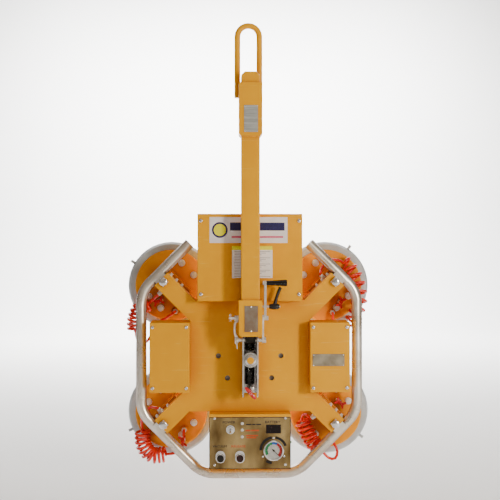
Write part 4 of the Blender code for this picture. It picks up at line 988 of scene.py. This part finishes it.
ink = 0.00006
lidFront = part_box("upper_box_lid")[0].y
banner = {
    "place": (-0.1105, 0.1027, -0.5845, -0.5136), "thickness": 0.00025,
    "stripe": (-0.0545, 0.0947, -0.5506, -0.5286), "rule": (-0.0505, 0.0907, -0.5706, -0.5656),
    "roundelX": -0.0825, "roundelZ": -0.54905, "rim": 0.0215, "disc": 0.0165,
}


def makeBanner():
    # A white film with a plain stripe, a rule and a roundel
    front = lidFront - banner["thickness"]
    makeFlat("banner_film", banner["place"], lidFront, banner["thickness"], whiteVinylFilm)
    makeFlat("banner_stripe", banner["stripe"], front, ink, navyInk)
    makeFlat("banner_rule", banner["rule"], front, ink, magentaInk)
    for part, depth, material in (("rim", 0, navyInk), ("disc", ink, yellowInk)):
        builder = bmesh.new()
        place = upright(banner["roundelX"], front - depth, banner["roundelZ"])
        addSlab(builder, roundOutline(banner[part], 40), 0, ink, place)
        makePiece("banner_" + part, builder, material, "pad_frame")


card = {
    "place": (-0.0491, 0.0616, -0.6803, -0.5928), "thickness": 0.0003, "header": 0.0109, "lines": 17,
    "margin": 0.006, "ragged": 0.012, "halfLine": 0.0009,
}


def makeCard():
    # A paper card with a yellow header and ruled lines that end unevenly
    left, right, bottom, top = card["place"]
    front, under = lidFront - card["thickness"], top - card["header"]
    makeFlat("paper_card", card["place"], lidFront, card["thickness"], coatedPaper)
    makeFlat("card_header", (left, right, under, top), front, ink, yellowInk)
    builder = bmesh.new()
    pitch = (under - bottom) / (card["lines"] + 1)
    for line in range(card["lines"]):
        z = under - pitch * (line + 1)
        end = right - card["margin"] - card["ragged"] * ((line * 5) % 4)
        addFlat(builder, left + card["margin"], end, z - card["halfLine"], z + card["halfLine"], front, ink, 0.0003)
    makePiece("card_lines", builder, greyInk, "pad_frame")


makeBanner()
makeCard()
print("stage: plates and films")

# Control panel

panelLow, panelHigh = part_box("control_panel")
panelFront = panelLow.y
panelLip = {"height": 0.0078, "thickness": 0.0006}
lipFoot = panelHigh.z - panelLip["height"]
makeFlat("control_box_lip", (panelLow.x, panelHigh.x, lipFoot, panelHigh.z), panelFront, panelLip["thickness"],
         yellowPowderCoat, edge=0.0002)

# Each word: its middle, width, height, ink and slot
words = {
    "POWER": (-0.0573, -1.0744, 0.0345, 0.0068, blackInk, "black_plastic"),
    "BATTERY": (0.0624, -1.0742, 0.0415, 0.0068, blackInk, "black_plastic"),
    "VACUUM": (-0.0826, -1.1400, 0.0385, 0.0066, blackInk, "black_plastic"),
    "RELEASE": (-0.0314, -1.1400, 0.0385, 0.0064, redInk, "red_plastic"),
}
lettering = {"bold": 0.018, "half": 0.48, "curveSteps": 3}  # in shares of the letters' size


def makeWord(word, x, z, width, height, material, slotName):
    data = bpy.data.curves.new("word", "FONT")
    data.body = word
    data.align_x = "CENTER"
    data.align_y = "CENTER"
    data.bevel_depth = lettering["bold"]
    data.bevel_resolution = 0
    data.extrude = lettering["half"]
    data.resolution_u = lettering["curveSteps"]
    holder = bpy.data.objects.new("word", data)
    bpy.context.scene.collection.objects.link(holder)
    bpy.context.view_layer.update()
    mesh = bpy.data.meshes.new_from_object(holder)
    bpy.data.objects.remove(holder)
    xs = [vertex.co.x for vertex in mesh.vertices]
    ys = [vertex.co.y for vertex in mesh.vertices]
    middleX, middleY = (min(xs) + max(xs)) / 2, (min(ys) + max(ys)) / 2
    wide, high = width / (max(xs) - min(xs)), height / (max(ys) - min(ys))
    for vertex in mesh.vertices:
        depth = panelFront - ink * (vertex.co.z + 0.5)
        vertex.co = (x + (vertex.co.x - middleX) * wide, depth, z + (vertex.co.y - middleY) * high)
    builder = bmesh.new()
    builder.from_mesh(mesh)
    bpy.data.meshes.remove(mesh)
    closeSeam(builder)
    makePiece("print_" + word.lower(), builder, material, "pad_frame")


for word, look in words.items():
    makeWord(word, *look)

# Each bar under a caption: left, right, middle and height
captionBars = {
    "black": (blackInk, [(-0.0109, 0.0040, -1.0807, 0.0034), (0.0060, 0.0150, -1.0807, 0.0034),
                         (0.0168, 0.0302, -1.0807, 0.0034)]),
    "red": (redInk, [(-0.0122, 0.0010, -1.0971, 0.0040), (0.0030, 0.0247, -1.0971, 0.0036),
                     (-0.0109, 0.0219, -1.1110, 0.0034), (-0.0100, 0.0170, -1.1165, 0.0034)]),
}
for colour, (material, bars) in captionBars.items():
    builder = bmesh.new()
    for left, right, middle, height in bars:
        addFlat(builder, left, right, middle - height / 2, middle + height / 2, panelFront, ink, 0.0003)
    makePiece("caption_bars_" + colour, builder, material, "pad_frame")


def addCollar(builder, outline, inner, low, high, place):
    # A raised plate with a round hole: each outline point has its own point on the hole's edge
    hole = [(x * inner / math.hypot(x, y), y * inner / math.hypot(x, y)) for x, y in outline]
    rings = []
    for points, depth in ((outline, low), (outline, high), (hole, high), (hole, low)):
        rings.append([builder.verts.new(place @ Vector((x, y, depth))) for x, y in points])
    joinRings(builder, rings + rings[:1])


# A bright hood over the top of each push button's barrel
hood = {"radius": 0.0129, "bore": 0.0127, "rise": 0.0075, "thickness": 0.0115, "steps": 48}


def makeHood(nodeName):
    outline = []
    for start, rise, first, last in ((0, hood["rise"], 0, hood["steps"]), (180, 0, 1, hood["steps"] - 1)):
        for step in range(first, last + 1):
            x, y = onCircle(hood["radius"], start + 180 * step / hood["steps"])
            outline.append((x, rise + y))
    middle = middleOf(nodeName)
    builder = bmesh.new()
    addCollar(builder, outline, hood["bore"], 0, hood["thickness"], upright(middle.x, panelFront, middle.z))
    makePiece(nodeName + "_hood", builder, chromePlate, "pad_frame", edge=0.0010)


for nodeName in ("vacuum_button_barrel", "release_button_barrel"):
    makeHood(nodeName)

# Painted shade: dark rubber strips round the panel stand in for the shadow in the gap at its edges and under its lip
shadowGapStrip = {"width": 0.0014, "proud": 0.0003, "top": 0.002}


def makeShadowGapStrips():
    width = shadowGapStrip["width"]
    builder = bmesh.new()
    for edges in ((panelLow.x, panelLow.x + width, panelLow.z, panelHigh.z),
                  (panelHigh.x - width, panelHigh.x, panelLow.z, panelHigh.z),
                  (panelLow.x, panelHigh.x, panelLow.z, panelLow.z + width),
                  (panelLow.x, panelHigh.x, lipFoot - shadowGapStrip["top"], lipFoot)):
        addFlat(builder, *edges, panelFront, shadowGapStrip["proud"], 0.0002)
    makePiece("panel_painted_shadow_gap", builder, blackRubber, "pad_frame")


lamp = {
    "x": -0.021, "heights": (-1.0778, -1.0956, -1.1142), "radius": 0.0032, "ring": 0.0044, "sill": 0.0012,
    "proud": 0.0028,
}


def makeLamps():
    # Three domed lenses, each in a thin bright ring
    lenses, rings = bmesh.new(), bmesh.new()
    radius, ring, sill = lamp["radius"], lamp["ring"], lamp["sill"]
    dome = [(0, 0.0004), (radius, 0.0004), (radius, sill)]
    for degrees in (25, 50, 75):
        x, y = onCircle(1, degrees)
        dome.append((radius * x, sill + (lamp["proud"] - sill) * y))
    for z in lamp["heights"]:
        place = facing((lamp["x"], panelFront, z), forward)
        addTurned(lenses, dome + [(0, lamp["proud"])], place, 20)
        addTurned(rings, [(0, 0), (ring, 0), (ring, 0.0006), (ring - 0.0005, 0.001), (0, 0.001)], place, 24)
    makePiece("indicator_lenses", lenses, lampLens, "pad_frame")
    makePiece("indicator_rings", rings, chromePlate, "pad_frame")


gauge = frontOf("gauge_case")
dial = {
    "sunk": 0.007,  # behind the case's front
    "radius": 0.0242,
    "card": 0.00010,
    "bands": [("green", dialGreen, 215, 103), ("blue", dialBlue, 103, 62), ("red", dialRed, 62, -48)],
    "bandInner": 0.0164,
    "bandOuter": 0.0239,
    "ticks": 11,
    "tickDegrees": (215, -48),
    "tickHalf": 1.2,
    "tickInner": 0.0140,
    "tickOuter": 0.0160,
}


def makeDial():
    floor = upright(gauge.x, gauge.y + dial["sunk"], gauge.z)
    front = upright(gauge.x, gauge.y + dial["sunk"] - dial["card"], gauge.z)
    builder = bmesh.new()
    addSlab(builder, roundOutline(dial["radius"], 48), 0, dial["card"], floor)
    makePiece("gauge_dial", builder, dialEnamel, "pad_frame")
    for colour, material, start, end in dial["bands"]:
        builder = bmesh.new()
        addSlab(builder, ringSector(dial["bandInner"], dial["bandOuter"], start, end), 0, ink, front)
        makePiece("dial_band_" + colour, builder, material, "pad_frame")
    builder = bmesh.new()
    start, end = dial["tickDegrees"]
    half = dial["tickHalf"]
    for tick in range(dial["ticks"]):
        middle = start + (end - start) * tick / (dial["ticks"] - 1)
        sector = ringSector(dial["tickInner"], dial["tickOuter"], middle - half, middle + half, 2)
        addSlab(builder, sector, 0, ink, front)
    makePiece("dial_ticks", builder, blackInk, "pad_frame")


surround = {
    "inner": 0.0315, "outer": 0.0385, "thickness": 0.0004, "arcs": [(180, 98), (82, 20), (262, 236)],
    "screwCircle": 0.0335, "screws": (90, 210, 330), "screw": (0.0036, 0.0026),
}


def makeSurround():
    # Black arcs printed round the gauge and the three screws that hold it
    builder = bmesh.new()
    for start, end in surround["arcs"]:
        addSlab(builder, ringSector(surround["inner"], surround["outer"], start, end), 0, surround["thickness"],
                upright(gauge.x, panelFront, gauge.z))
    makePiece("gauge_surround", builder, blackInk, "pad_frame")
    builder = bmesh.new()
    for degrees in surround["screws"]:
        x, z = onCircle(surround["screwCircle"], degrees)
        addDome(builder, "socketScrew", facing((gauge.x + x, panelFront, gauge.z + z), forward), *surround["screw"])
    makePiece("gauge_screws", builder, chromePlate)


socketCap = {"radius": 0.0024, "length": 0.006, "flange": 0.0042, "tip": 0.0016, "y": 0.05, "z": -1.1396}


def makeSocketCap():
    # A green cap on the charge socket, in the box's side
    radius, length, flange = socketCap["radius"], socketCap["length"], socketCap["flange"]
    profile = [(0, 0), (flange, 0), (flange, 0.001), (radius, 0.0012), (radius, length - 0.0008)]
    place = facing((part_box("control_box")[1].x, socketCap["y"], socketCap["z"]), across)
    builder = bmesh.new()
    addTurned(builder, profile + [(socketCap["tip"], length), (0, length)], place, 20)
    makePiece("charge_socket_cap", builder, greenPlastic, "pad_frame")


makeShadowGapStrips()
makeLamps()
makeDial()
makeSurround()
makeSocketCap()
print("stage: control panel")

# Swivel head: painted bolt centre, spring washer, rubber buffers in the channel, pull lever and plunger cap

swivelDress = {
    "paintRadius": 0.0092,
    "ringInner": 0.0152,
    "ringRadius": 0.0176,
    "ringHeight": 0.0022,
    "bufferRadius": 0.0128,
    "webThickness": 0.006,
    "buffers": [(-0.8525, -0.8790), (-0.9225, -0.9735)],  # top and bottom of each
}


def makeSwivelDress():
    builder = bmesh.new()
    radius = swivelDress["paintRadius"]
    profile = [(0, 0), (radius, 0), (radius - 0.0005, 0.0006), (radius * 0.5, 0.0011), (0, 0.0013)]
    addTurned(builder, profile, facing(frontOf("swivel_bolt"), forward), 36)
    makePiece("swivel_bolt_paint", builder, yellowPowderCoat, "swivel_head")
    # A spring washer between the bolt's head and the big washer
    builder = bmesh.new()
    hole, ring, height = swivelDress["ringInner"], swivelDress["ringRadius"], swivelDress["ringHeight"]
    profile = [(hole, 0), (ring - 0.0003, 0), (ring, 0.0004), (ring, height - 0.0004), (ring - 0.0004, height)]
    addTurned(builder, profile + [(hole, height), (hole, 0)], facing(frontOf("swivel_washer"), forward), 40)
    closeSeam(builder)
    makePiece("spring_washer", builder, zincWithPaintedShade, "swivel_head")
    # Round rubber buffers stand upright in the channel, above and below the bolt
    builder = bmesh.new()
    radius = swivelDress["bufferRadius"]
    bufferY = spreaderLow.y - hose["gap"] - swivelDress["webThickness"] - radius
    for top, bottom in swivelDress["buffers"]:
        height = top - bottom
        profile = [(0, 0), (radius - 0.002, 0), (radius - 0.0006, 0.0006), (radius, 0.002), (radius, height - 0.002)]
        profile += [(radius - 0.0006, height - 0.0006), (radius - 0.002, height), (0, height)]
        addTurned(builder, profile, facing((0, bufferY, bottom), upward), 36)
    makePiece("channel_buffers", builder, blackRubber, "swivel_head")


lever = {
    "angle": -48, "length": 0.0220, "halfWidth": 0.0052, "rim": 0.0004, "rows": 10, "sides": 16,
    "crownRadius": 0.0050, "crownHeight": 0.0050,
    "capRadius": 0.0062, "capHeight": 0.0040, "capShift": (0.0042, 0.0115),
}


def makePullLever():
    # A leaf-shaped lever, thick in the middle, dipped in vinyl
    builder = bmesh.new()
    low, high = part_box("release_lever")
    centre, half, rim = (low + high) / 2, (high.y - low.y) / 2, lever["rim"]
    x, z = onCircle(1, lever["angle"])
    along, aside = Vector((x, 0, z)), Vector((-z, 0, x))
    rings = []
    for row in range(lever["rows"] + 1):
        share = -1 + 2 * row / lever["rows"]
        swell = math.sqrt(max(0.0, 1 - share**4))
        wide, thick = max(rim, lever["halfWidth"] * swell), max(rim, (half - rim) * swell)
        middle = centre + along * lever["length"] * share
        rings.append([builder.verts.new(middle + aside * wide * out + forward * thick * up)
                      for out, up in roundOutline(1, lever["sides"])])
    builder.faces.new(rings[0])
    builder.faces.new(rings[-1])
    joinRings(builder, rings)
    place = facing((centre.x, low.y + 2 * rim, centre.z), forward)
    addDome(builder, "leverCrown", place, lever["crownRadius"], lever["crownHeight"])
    piece = makePiece("pull_lever", builder, dippedVinyl, "release_lever", 60)
    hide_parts("release_lever")
    # The bright cap of the plunger's spring, just above the lever and behind it
    builder = bmesh.new()
    (shiftX, shiftZ), height = lever["capShift"], lever["capHeight"]
    place = facing(centre + Vector((shiftX, half + height + 0.0006, shiftZ)), forward)
    addDome(builder, "springCap", place, lever["capRadius"], height, 28)
    makePiece("plunger_cap", builder, chromePlate, "index_plunger")


makeSwivelDress()
makePullLever()
print("stage: swivel head")

# Crank grip and clamp lever, with the handles' real curves

grip = {
    "neck": 0.0060, "neckEnd": 0.010, "waist": 0.0072, "waistAt": 0.026, "end": 0.0090, "bore": 0.0034,
    "play": 0.0002, "capThickness": 0.0010,
}


def makeCrankGrip():
    low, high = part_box("crank_grip")
    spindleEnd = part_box("grip_spindle")[1].x - low.x
    tip = max(high.x - low.x, spindleEnd + grip["capThickness"])
    neck, end, bore, floor = grip["neck"], grip["end"], grip["bore"], spindleEnd + grip["play"]
    profile = [(0, floor), (bore, floor), (bore, 0), (neck - 0.0008, 0), (neck, 0.0008)]
    profile += [(neck + 0.0002, grip["neckEnd"]), (grip["waist"], grip["waistAt"]), (end - 0.0004, tip - 0.010)]
    profile += [(end, tip - 0.004), (end - 0.0003, tip - 0.0012), (end - 0.0014, tip), (0, tip)]
    builder = bmesh.new()
    centre = (low.x, (low.y + high.y) / 2, (low.z + high.z) / 2)
    addTurned(builder, profile, facing(centre, across), 40)
    closeSeam(builder)
    piece = makePiece("crank_handle", builder, pressedPhenolic, "crank_grip")
    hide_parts("crank_grip")


clamp = {
    "neck": 0.020,  # from the stud's end to the hub
    "hubRadius": 0.0085,
    "hubLength": 0.028,
    "studRadius": 0.004,
    "threads": 12,
    "threadLength": 0.018,
    "threadDepth": 0.0006,
    "armSpread": 0.016,
    "armRise": 0.051,
    "armRadii": (0.0054, 0.0044, 0.0048),
    "armSteps": 12,
    "bow": 0.0016,
}


def makeClampHandle():
    # A moulded hub with an arm that bows a little outwards
    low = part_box("clamp_lever")[0]
    radius, length = clamp["hubRadius"], clamp["hubLength"]
    hub = Vector((low.x + clamp["neck"], low.y + radius, low.z + radius))
    place = facing(hub, across)
    builder = bmesh.new()
    profile = [(0, 0), (0.0058, 0), (0.0066, 0.0012), (0.0070, 0.005), (0.0084, 0.011), (radius, 0.016)]
    profile += [(0.0080, 0.022), (0.0064, 0.0268), (0.0048, length), (0, length)]
    addTurned(builder, profile, place, 32)
    path, radii = [], []
    near, waist, tip = clamp["armRadii"]
    for step in range(clamp["armSteps"] + 1):
        share = step / clamp["armSteps"]
        bow = clamp["bow"] * math.sin(math.pi * share)
        path.append(hub + Vector((length / 2 + clamp["armSpread"] * share - bow, 0, clamp["armRise"] * share)))
        radii.append(near + (waist - near) * min(1, 2 * share) + (tip - waist) * max(0, 2 * share - 1))
    path += [path[-1] + (path[-1] - path[-2]).normalized() * 0.0012]
    addTube(builder, path, radii + [tip * 0.6], 20)
    piece = makePiece("clamp_handle", builder, mouldedNylon, "clamp_lever")
    # Its threaded stud, and the screw in the hub's end
    builder = bmesh.new()
    stud, root = clamp["studRadius"], clamp["studRadius"] - clamp["threadDepth"]
    profile = [(0, -clamp["neck"])]
    for turn in range(clamp["threads"]):
        at = 0.0008 - clamp["neck"] + clamp["threadLength"] * turn / clamp["threads"]
        profile += [(root, at), (stud, at + 0.0007)]
    addTurned(builder, profile + [(root, -0.0006), (0, -0.0006)], place, 20)
    addDome(builder, "socketScrew", facing(hub + across * length, across), 0.0038, 0.0018)
    makePiece("clamp_stud", builder, zincPlate, "clamp_lever")
    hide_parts("clamp_lever")


makeCrankGrip()
makeClampHandle()
print("stage: handles")

# The left link between the lock screw and the tilt pin, bent outwards

link = {
    "node": "safety_link_left", "radius": 0.0038, "eyeInner": 0.0042, "eyeOuter": 0.0086, "thickness": 0.0040,
    "eyeInset": 0.009, "clear": 0.0003, "bow": 0.0080, "steps": 12,
}


def makeLink():
    # A round bar between two flat eyes
    low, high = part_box(link["node"])
    eye, hole, clear, thickness = link["eyeOuter"], link["eyeInner"], link["clear"], link["thickness"]
    profile = [(eye, clear), (eye, thickness - 0.0006), (eye - 0.0006, thickness), (hole, thickness), (hole, clear)]
    top = Vector((high.x, low.y + link["eyeInset"], high.z - link["eyeInset"]))
    bottom = Vector((high.x, high.y - link["eyeInset"], low.z + link["eyeInset"]))
    builder = bmesh.new()
    for end in (top, bottom):
        addTurned(builder, profile + [(eye, clear)], facing(end, -across), 28)
    path = []
    for step in range(link["steps"] + 1):
        share = step / link["steps"]
        rise = math.sin(math.pi * share) ** 0.25  # bends near its ends and runs nearly straight between
        path.append(top.lerp(bottom, 0.12 + 0.76 * share) - across * (thickness / 2 + link["bow"] * rise))
    addTube(builder, path, link["radius"], 16)
    closeSeam(builder)
    piece = makePiece(link["node"] + "_bar", builder, zincPlate, "beam")
    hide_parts(link["node"])


# A split pin through the lock screw's end and a retaining clip that hangs from the tilt pin
pins = {
    "wire": 0.0011, "splitReach": 0.0062, "splitInset": 0.0035, "splitRing": 0.0024,
    "clipWire": 0.0016, "clipInset": 0.0045, "clipDrop": 0.013, "clipRing": 0.0050,
}


def makePins():
    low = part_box("lock_screw")[0]
    middle = middleOf("lock_screw")
    middle.x = low.x + pins["splitInset"]
    reach, wire, ring = pins["splitReach"], pins["wire"], pins["splitRing"]
    builder = bmesh.new()
    addTube(builder, [middle - upward * reach, middle + upward * reach], wire, 10)
    head = middle + upward * (reach + 0.0022)
    addTube(builder, [head + Vector((ring * math.sin(math.tau * step / 14), 0, -ring * math.cos(math.tau * step / 14)))
                      for step in range(15)], wire * 0.8, 8)
    for way in (-1, 1):
        tail = middle - upward * reach
        addTube(builder, [tail, tail + Vector((way * 0.0012, 0, -0.0010)), tail + Vector((way * 0.0040, 0, -0.0016))],
                wire * 0.8, 8)
    makePiece("lock_split_pin", builder, chromePlate, "beam", 60)
    low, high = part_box("tilt_pin")
    ring, wire, drop = pins["clipRing"], pins["clipWire"], pins["clipDrop"]
    top = Vector((low.x + pins["clipInset"], low.y - 0.0004, (low.z + high.z) / 2))
    centre = top - upward * ring
    builder = bmesh.new()
    addTube(builder, [centre + Vector((0.6 * ring * math.sin(math.tau * step / 20), 0,
                                       ring * math.cos(math.tau * step / 20))) for step in range(21)], wire * 0.8, 8)
    foot = top + Vector((0.001, 0, -2 * ring))
    addTube(builder, [foot, foot + Vector((0.0005, 0, -drop / 2)), foot + Vector((0.0012, 0, -drop))], wire, 12)
    makePiece("tilt_pin_clip", builder, zincPlate, "beam", 60)


makeLink()
makePins()

# Weld beads

weld = {
    "radius": 0.0022, "ripple": 0.0005, "step": 0.0016, "endShare": 0.4,
    "bailInset": 0.006, "bailTop": 0.016, "bailFoot": 0.002, "bailRise": 0.001,
    "sleeveHalf": 0.022, "sleeveRise": 0.0002,
    "tabHalf": 0.016, "tabAlong": 0.0335, "tabDepth": 0.0025,
}


def makeWelds(name, lines, body, material):
    # Stacked-coin beads along straight joints
    builder = bmesh.new()
    for start, end in lines:
        count = max(4, round((end - start).length / weld["step"]))
        path = [start.lerp(end, step / count) for step in range(count + 1)]
        radii = [weld["radius"] + weld["ripple"] * (-1) ** step for step in range(count + 1)]
        radii[0] = radii[-1] = weld["radius"] * weld["endShare"]
        addTube(builder, path, radii, 8)
    makePiece(name, builder, material, body, 60)


bailLow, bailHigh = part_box("bail")
beamLow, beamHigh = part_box("lifting_beam")
barRadius = (bailHigh.y - bailLow.y) / 2
bailY = beamHigh.y + weld["bailRise"]
bailWelds = []
for x in (bailLow.x + barRadius + weld["bailInset"], bailHigh.x - barRadius - weld["bailInset"]):
    bailWelds.append([Vector((x, bailY, z)) for z in (beamHigh.z - weld["bailTop"], bailLow.z + weld["bailFoot"])])
makeWelds("bail_welds", bailWelds, "beam", paintedWeld)

headLow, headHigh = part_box("head_sleeve")
sleeveWelds = []
for z in (headLow.z, headHigh.z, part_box("foot_sleeve")[1].z):
    ends = [Vector((x, beamLow.y - weld["sleeveRise"], z)) for x in (-weld["sleeveHalf"], weld["sleeveHalf"])]
    sleeveWelds.append(ends)
makeWelds("sleeve_welds", sleeveWelds, "beam", paintedWeld)

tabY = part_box("guard_tube")[0].y + weld["tabDepth"]
tabWelds = [[armPoint(corner, side, weld["tabAlong"], tabY) for side in (-weld["tabHalf"], weld["tabHalf"])]
            for corner in corners]
makeWelds("tab_welds", tabWelds, "pad_frame", zincPlate)
print("stage: welds")

# Floor, backdrop and lights

studio = {
    "floor": -1.32, "back": 6.0, "curve": 1.2, "curveSteps": 12, "front": -3.4, "half": 3.6, "height": 3.6,
    "colour": "#F4F4F3", "roughness": 0.9, "specular": 0.1,
}


def makeStudio():
    backdrop = bpy.data.materials.new("matPaperBackdrop")
    backdrop.use_nodes = True
    shader = backdrop.node_tree.nodes["Principled BSDF"]
    shader.inputs["Base Color"].default_value = linearOf(studio["colour"])
    shader.inputs["Roughness"].default_value = studio["roughness"]
    shader.inputs["Specular IOR Level"].default_value = studio["specular"]
    line = [(studio["front"], studio["floor"])]
    for step in range(studio["curveSteps"] + 1):
        y, z = onCircle(studio["curve"], 90 * step / studio["curveSteps"] - 90)
        line.append((studio["back"] - studio["curve"] + y, studio["floor"] + studio["curve"] + z))
    line.append((studio["back"], studio["floor"] + studio["height"]))
    builder = bmesh.new()
    rows = [[builder.verts.new((x, y, z)) for x in (-studio["half"], studio["half"])] for y, z in line]
    for low, high in zip(rows, rows[1:]):
        builder.faces.new([low[0], low[1], high[1], high[0]])
    mesh = bpy.data.meshes.new("studio_sweep")
    builder.to_mesh(mesh)
    builder.free()
    mesh.materials.append(backdrop)
    mesh.shade_smooth()
    sweep = bpy.data.objects.new("studio_sweep", mesh)
    bpy.context.scene.collection.objects.link(sweep)


lamps = {
    "keyLight": {"place": (1.9, -2.4, -0.35), "aim": (0, 0, -0.75), "size": (0.35, 0.5), "power": 58,
                 "colour": "#FFF4E0"},
    "frontFill": {"place": (-1.0, -3.0, 0.6), "aim": (0, 0, -0.7), "size": (2.4, 1.8), "power": 3,
                  "colour": "#FFD0A0"},
    "topSoft": {"place": (0.2, -0.7, 2.0), "aim": (0, 0.1, -0.7), "size": (2.0, 1.6), "power": 9,
                "colour": "#FFF0DC"},
    "floorWash": {"place": (0.0, 2.6, 1.1), "aim": (0, 2.8, -1.32), "size": (4.0, 2.4), "power": 230,
                  "colour": "#FFFFFF"},
    "backdropWash": {"place": (0.0, 4.2, 1.3), "aim": (0, 6.0, -0.5), "size": (4.0, 1.4), "power": 620,
                     "colour": "#FFFFFF"},
}
air = {"colour": "#FFEEDC", "strength": 0.24}


def makeLights():
    for name, look in lamps.items():
        data = bpy.data.lights.new(name, "AREA")
        data.shape = "RECTANGLE"
        data.size, data.size_y = look["size"]
        data.energy = look["power"]
        data.color = linearOf(look["colour"])[:3]
        lightObject = bpy.data.objects.new(name, data)
        aim = Vector(look["aim"]) - Vector(look["place"])
        lightObject.location = look["place"]
        lightObject.rotation_euler = aim.to_track_quat("-Z", "Y").to_euler()
        bpy.context.scene.collection.objects.link(lightObject)
    world = bpy.data.worlds.new("studioAir")
    world.use_nodes = True
    background = world.node_tree.nodes["Background"]
    background.inputs["Color"].default_value = linearOf(air["colour"])
    background.inputs["Strength"].default_value = air["strength"]
    bpy.context.scene.world = world


makeStudio()
makeLights()
print("stage: studio")
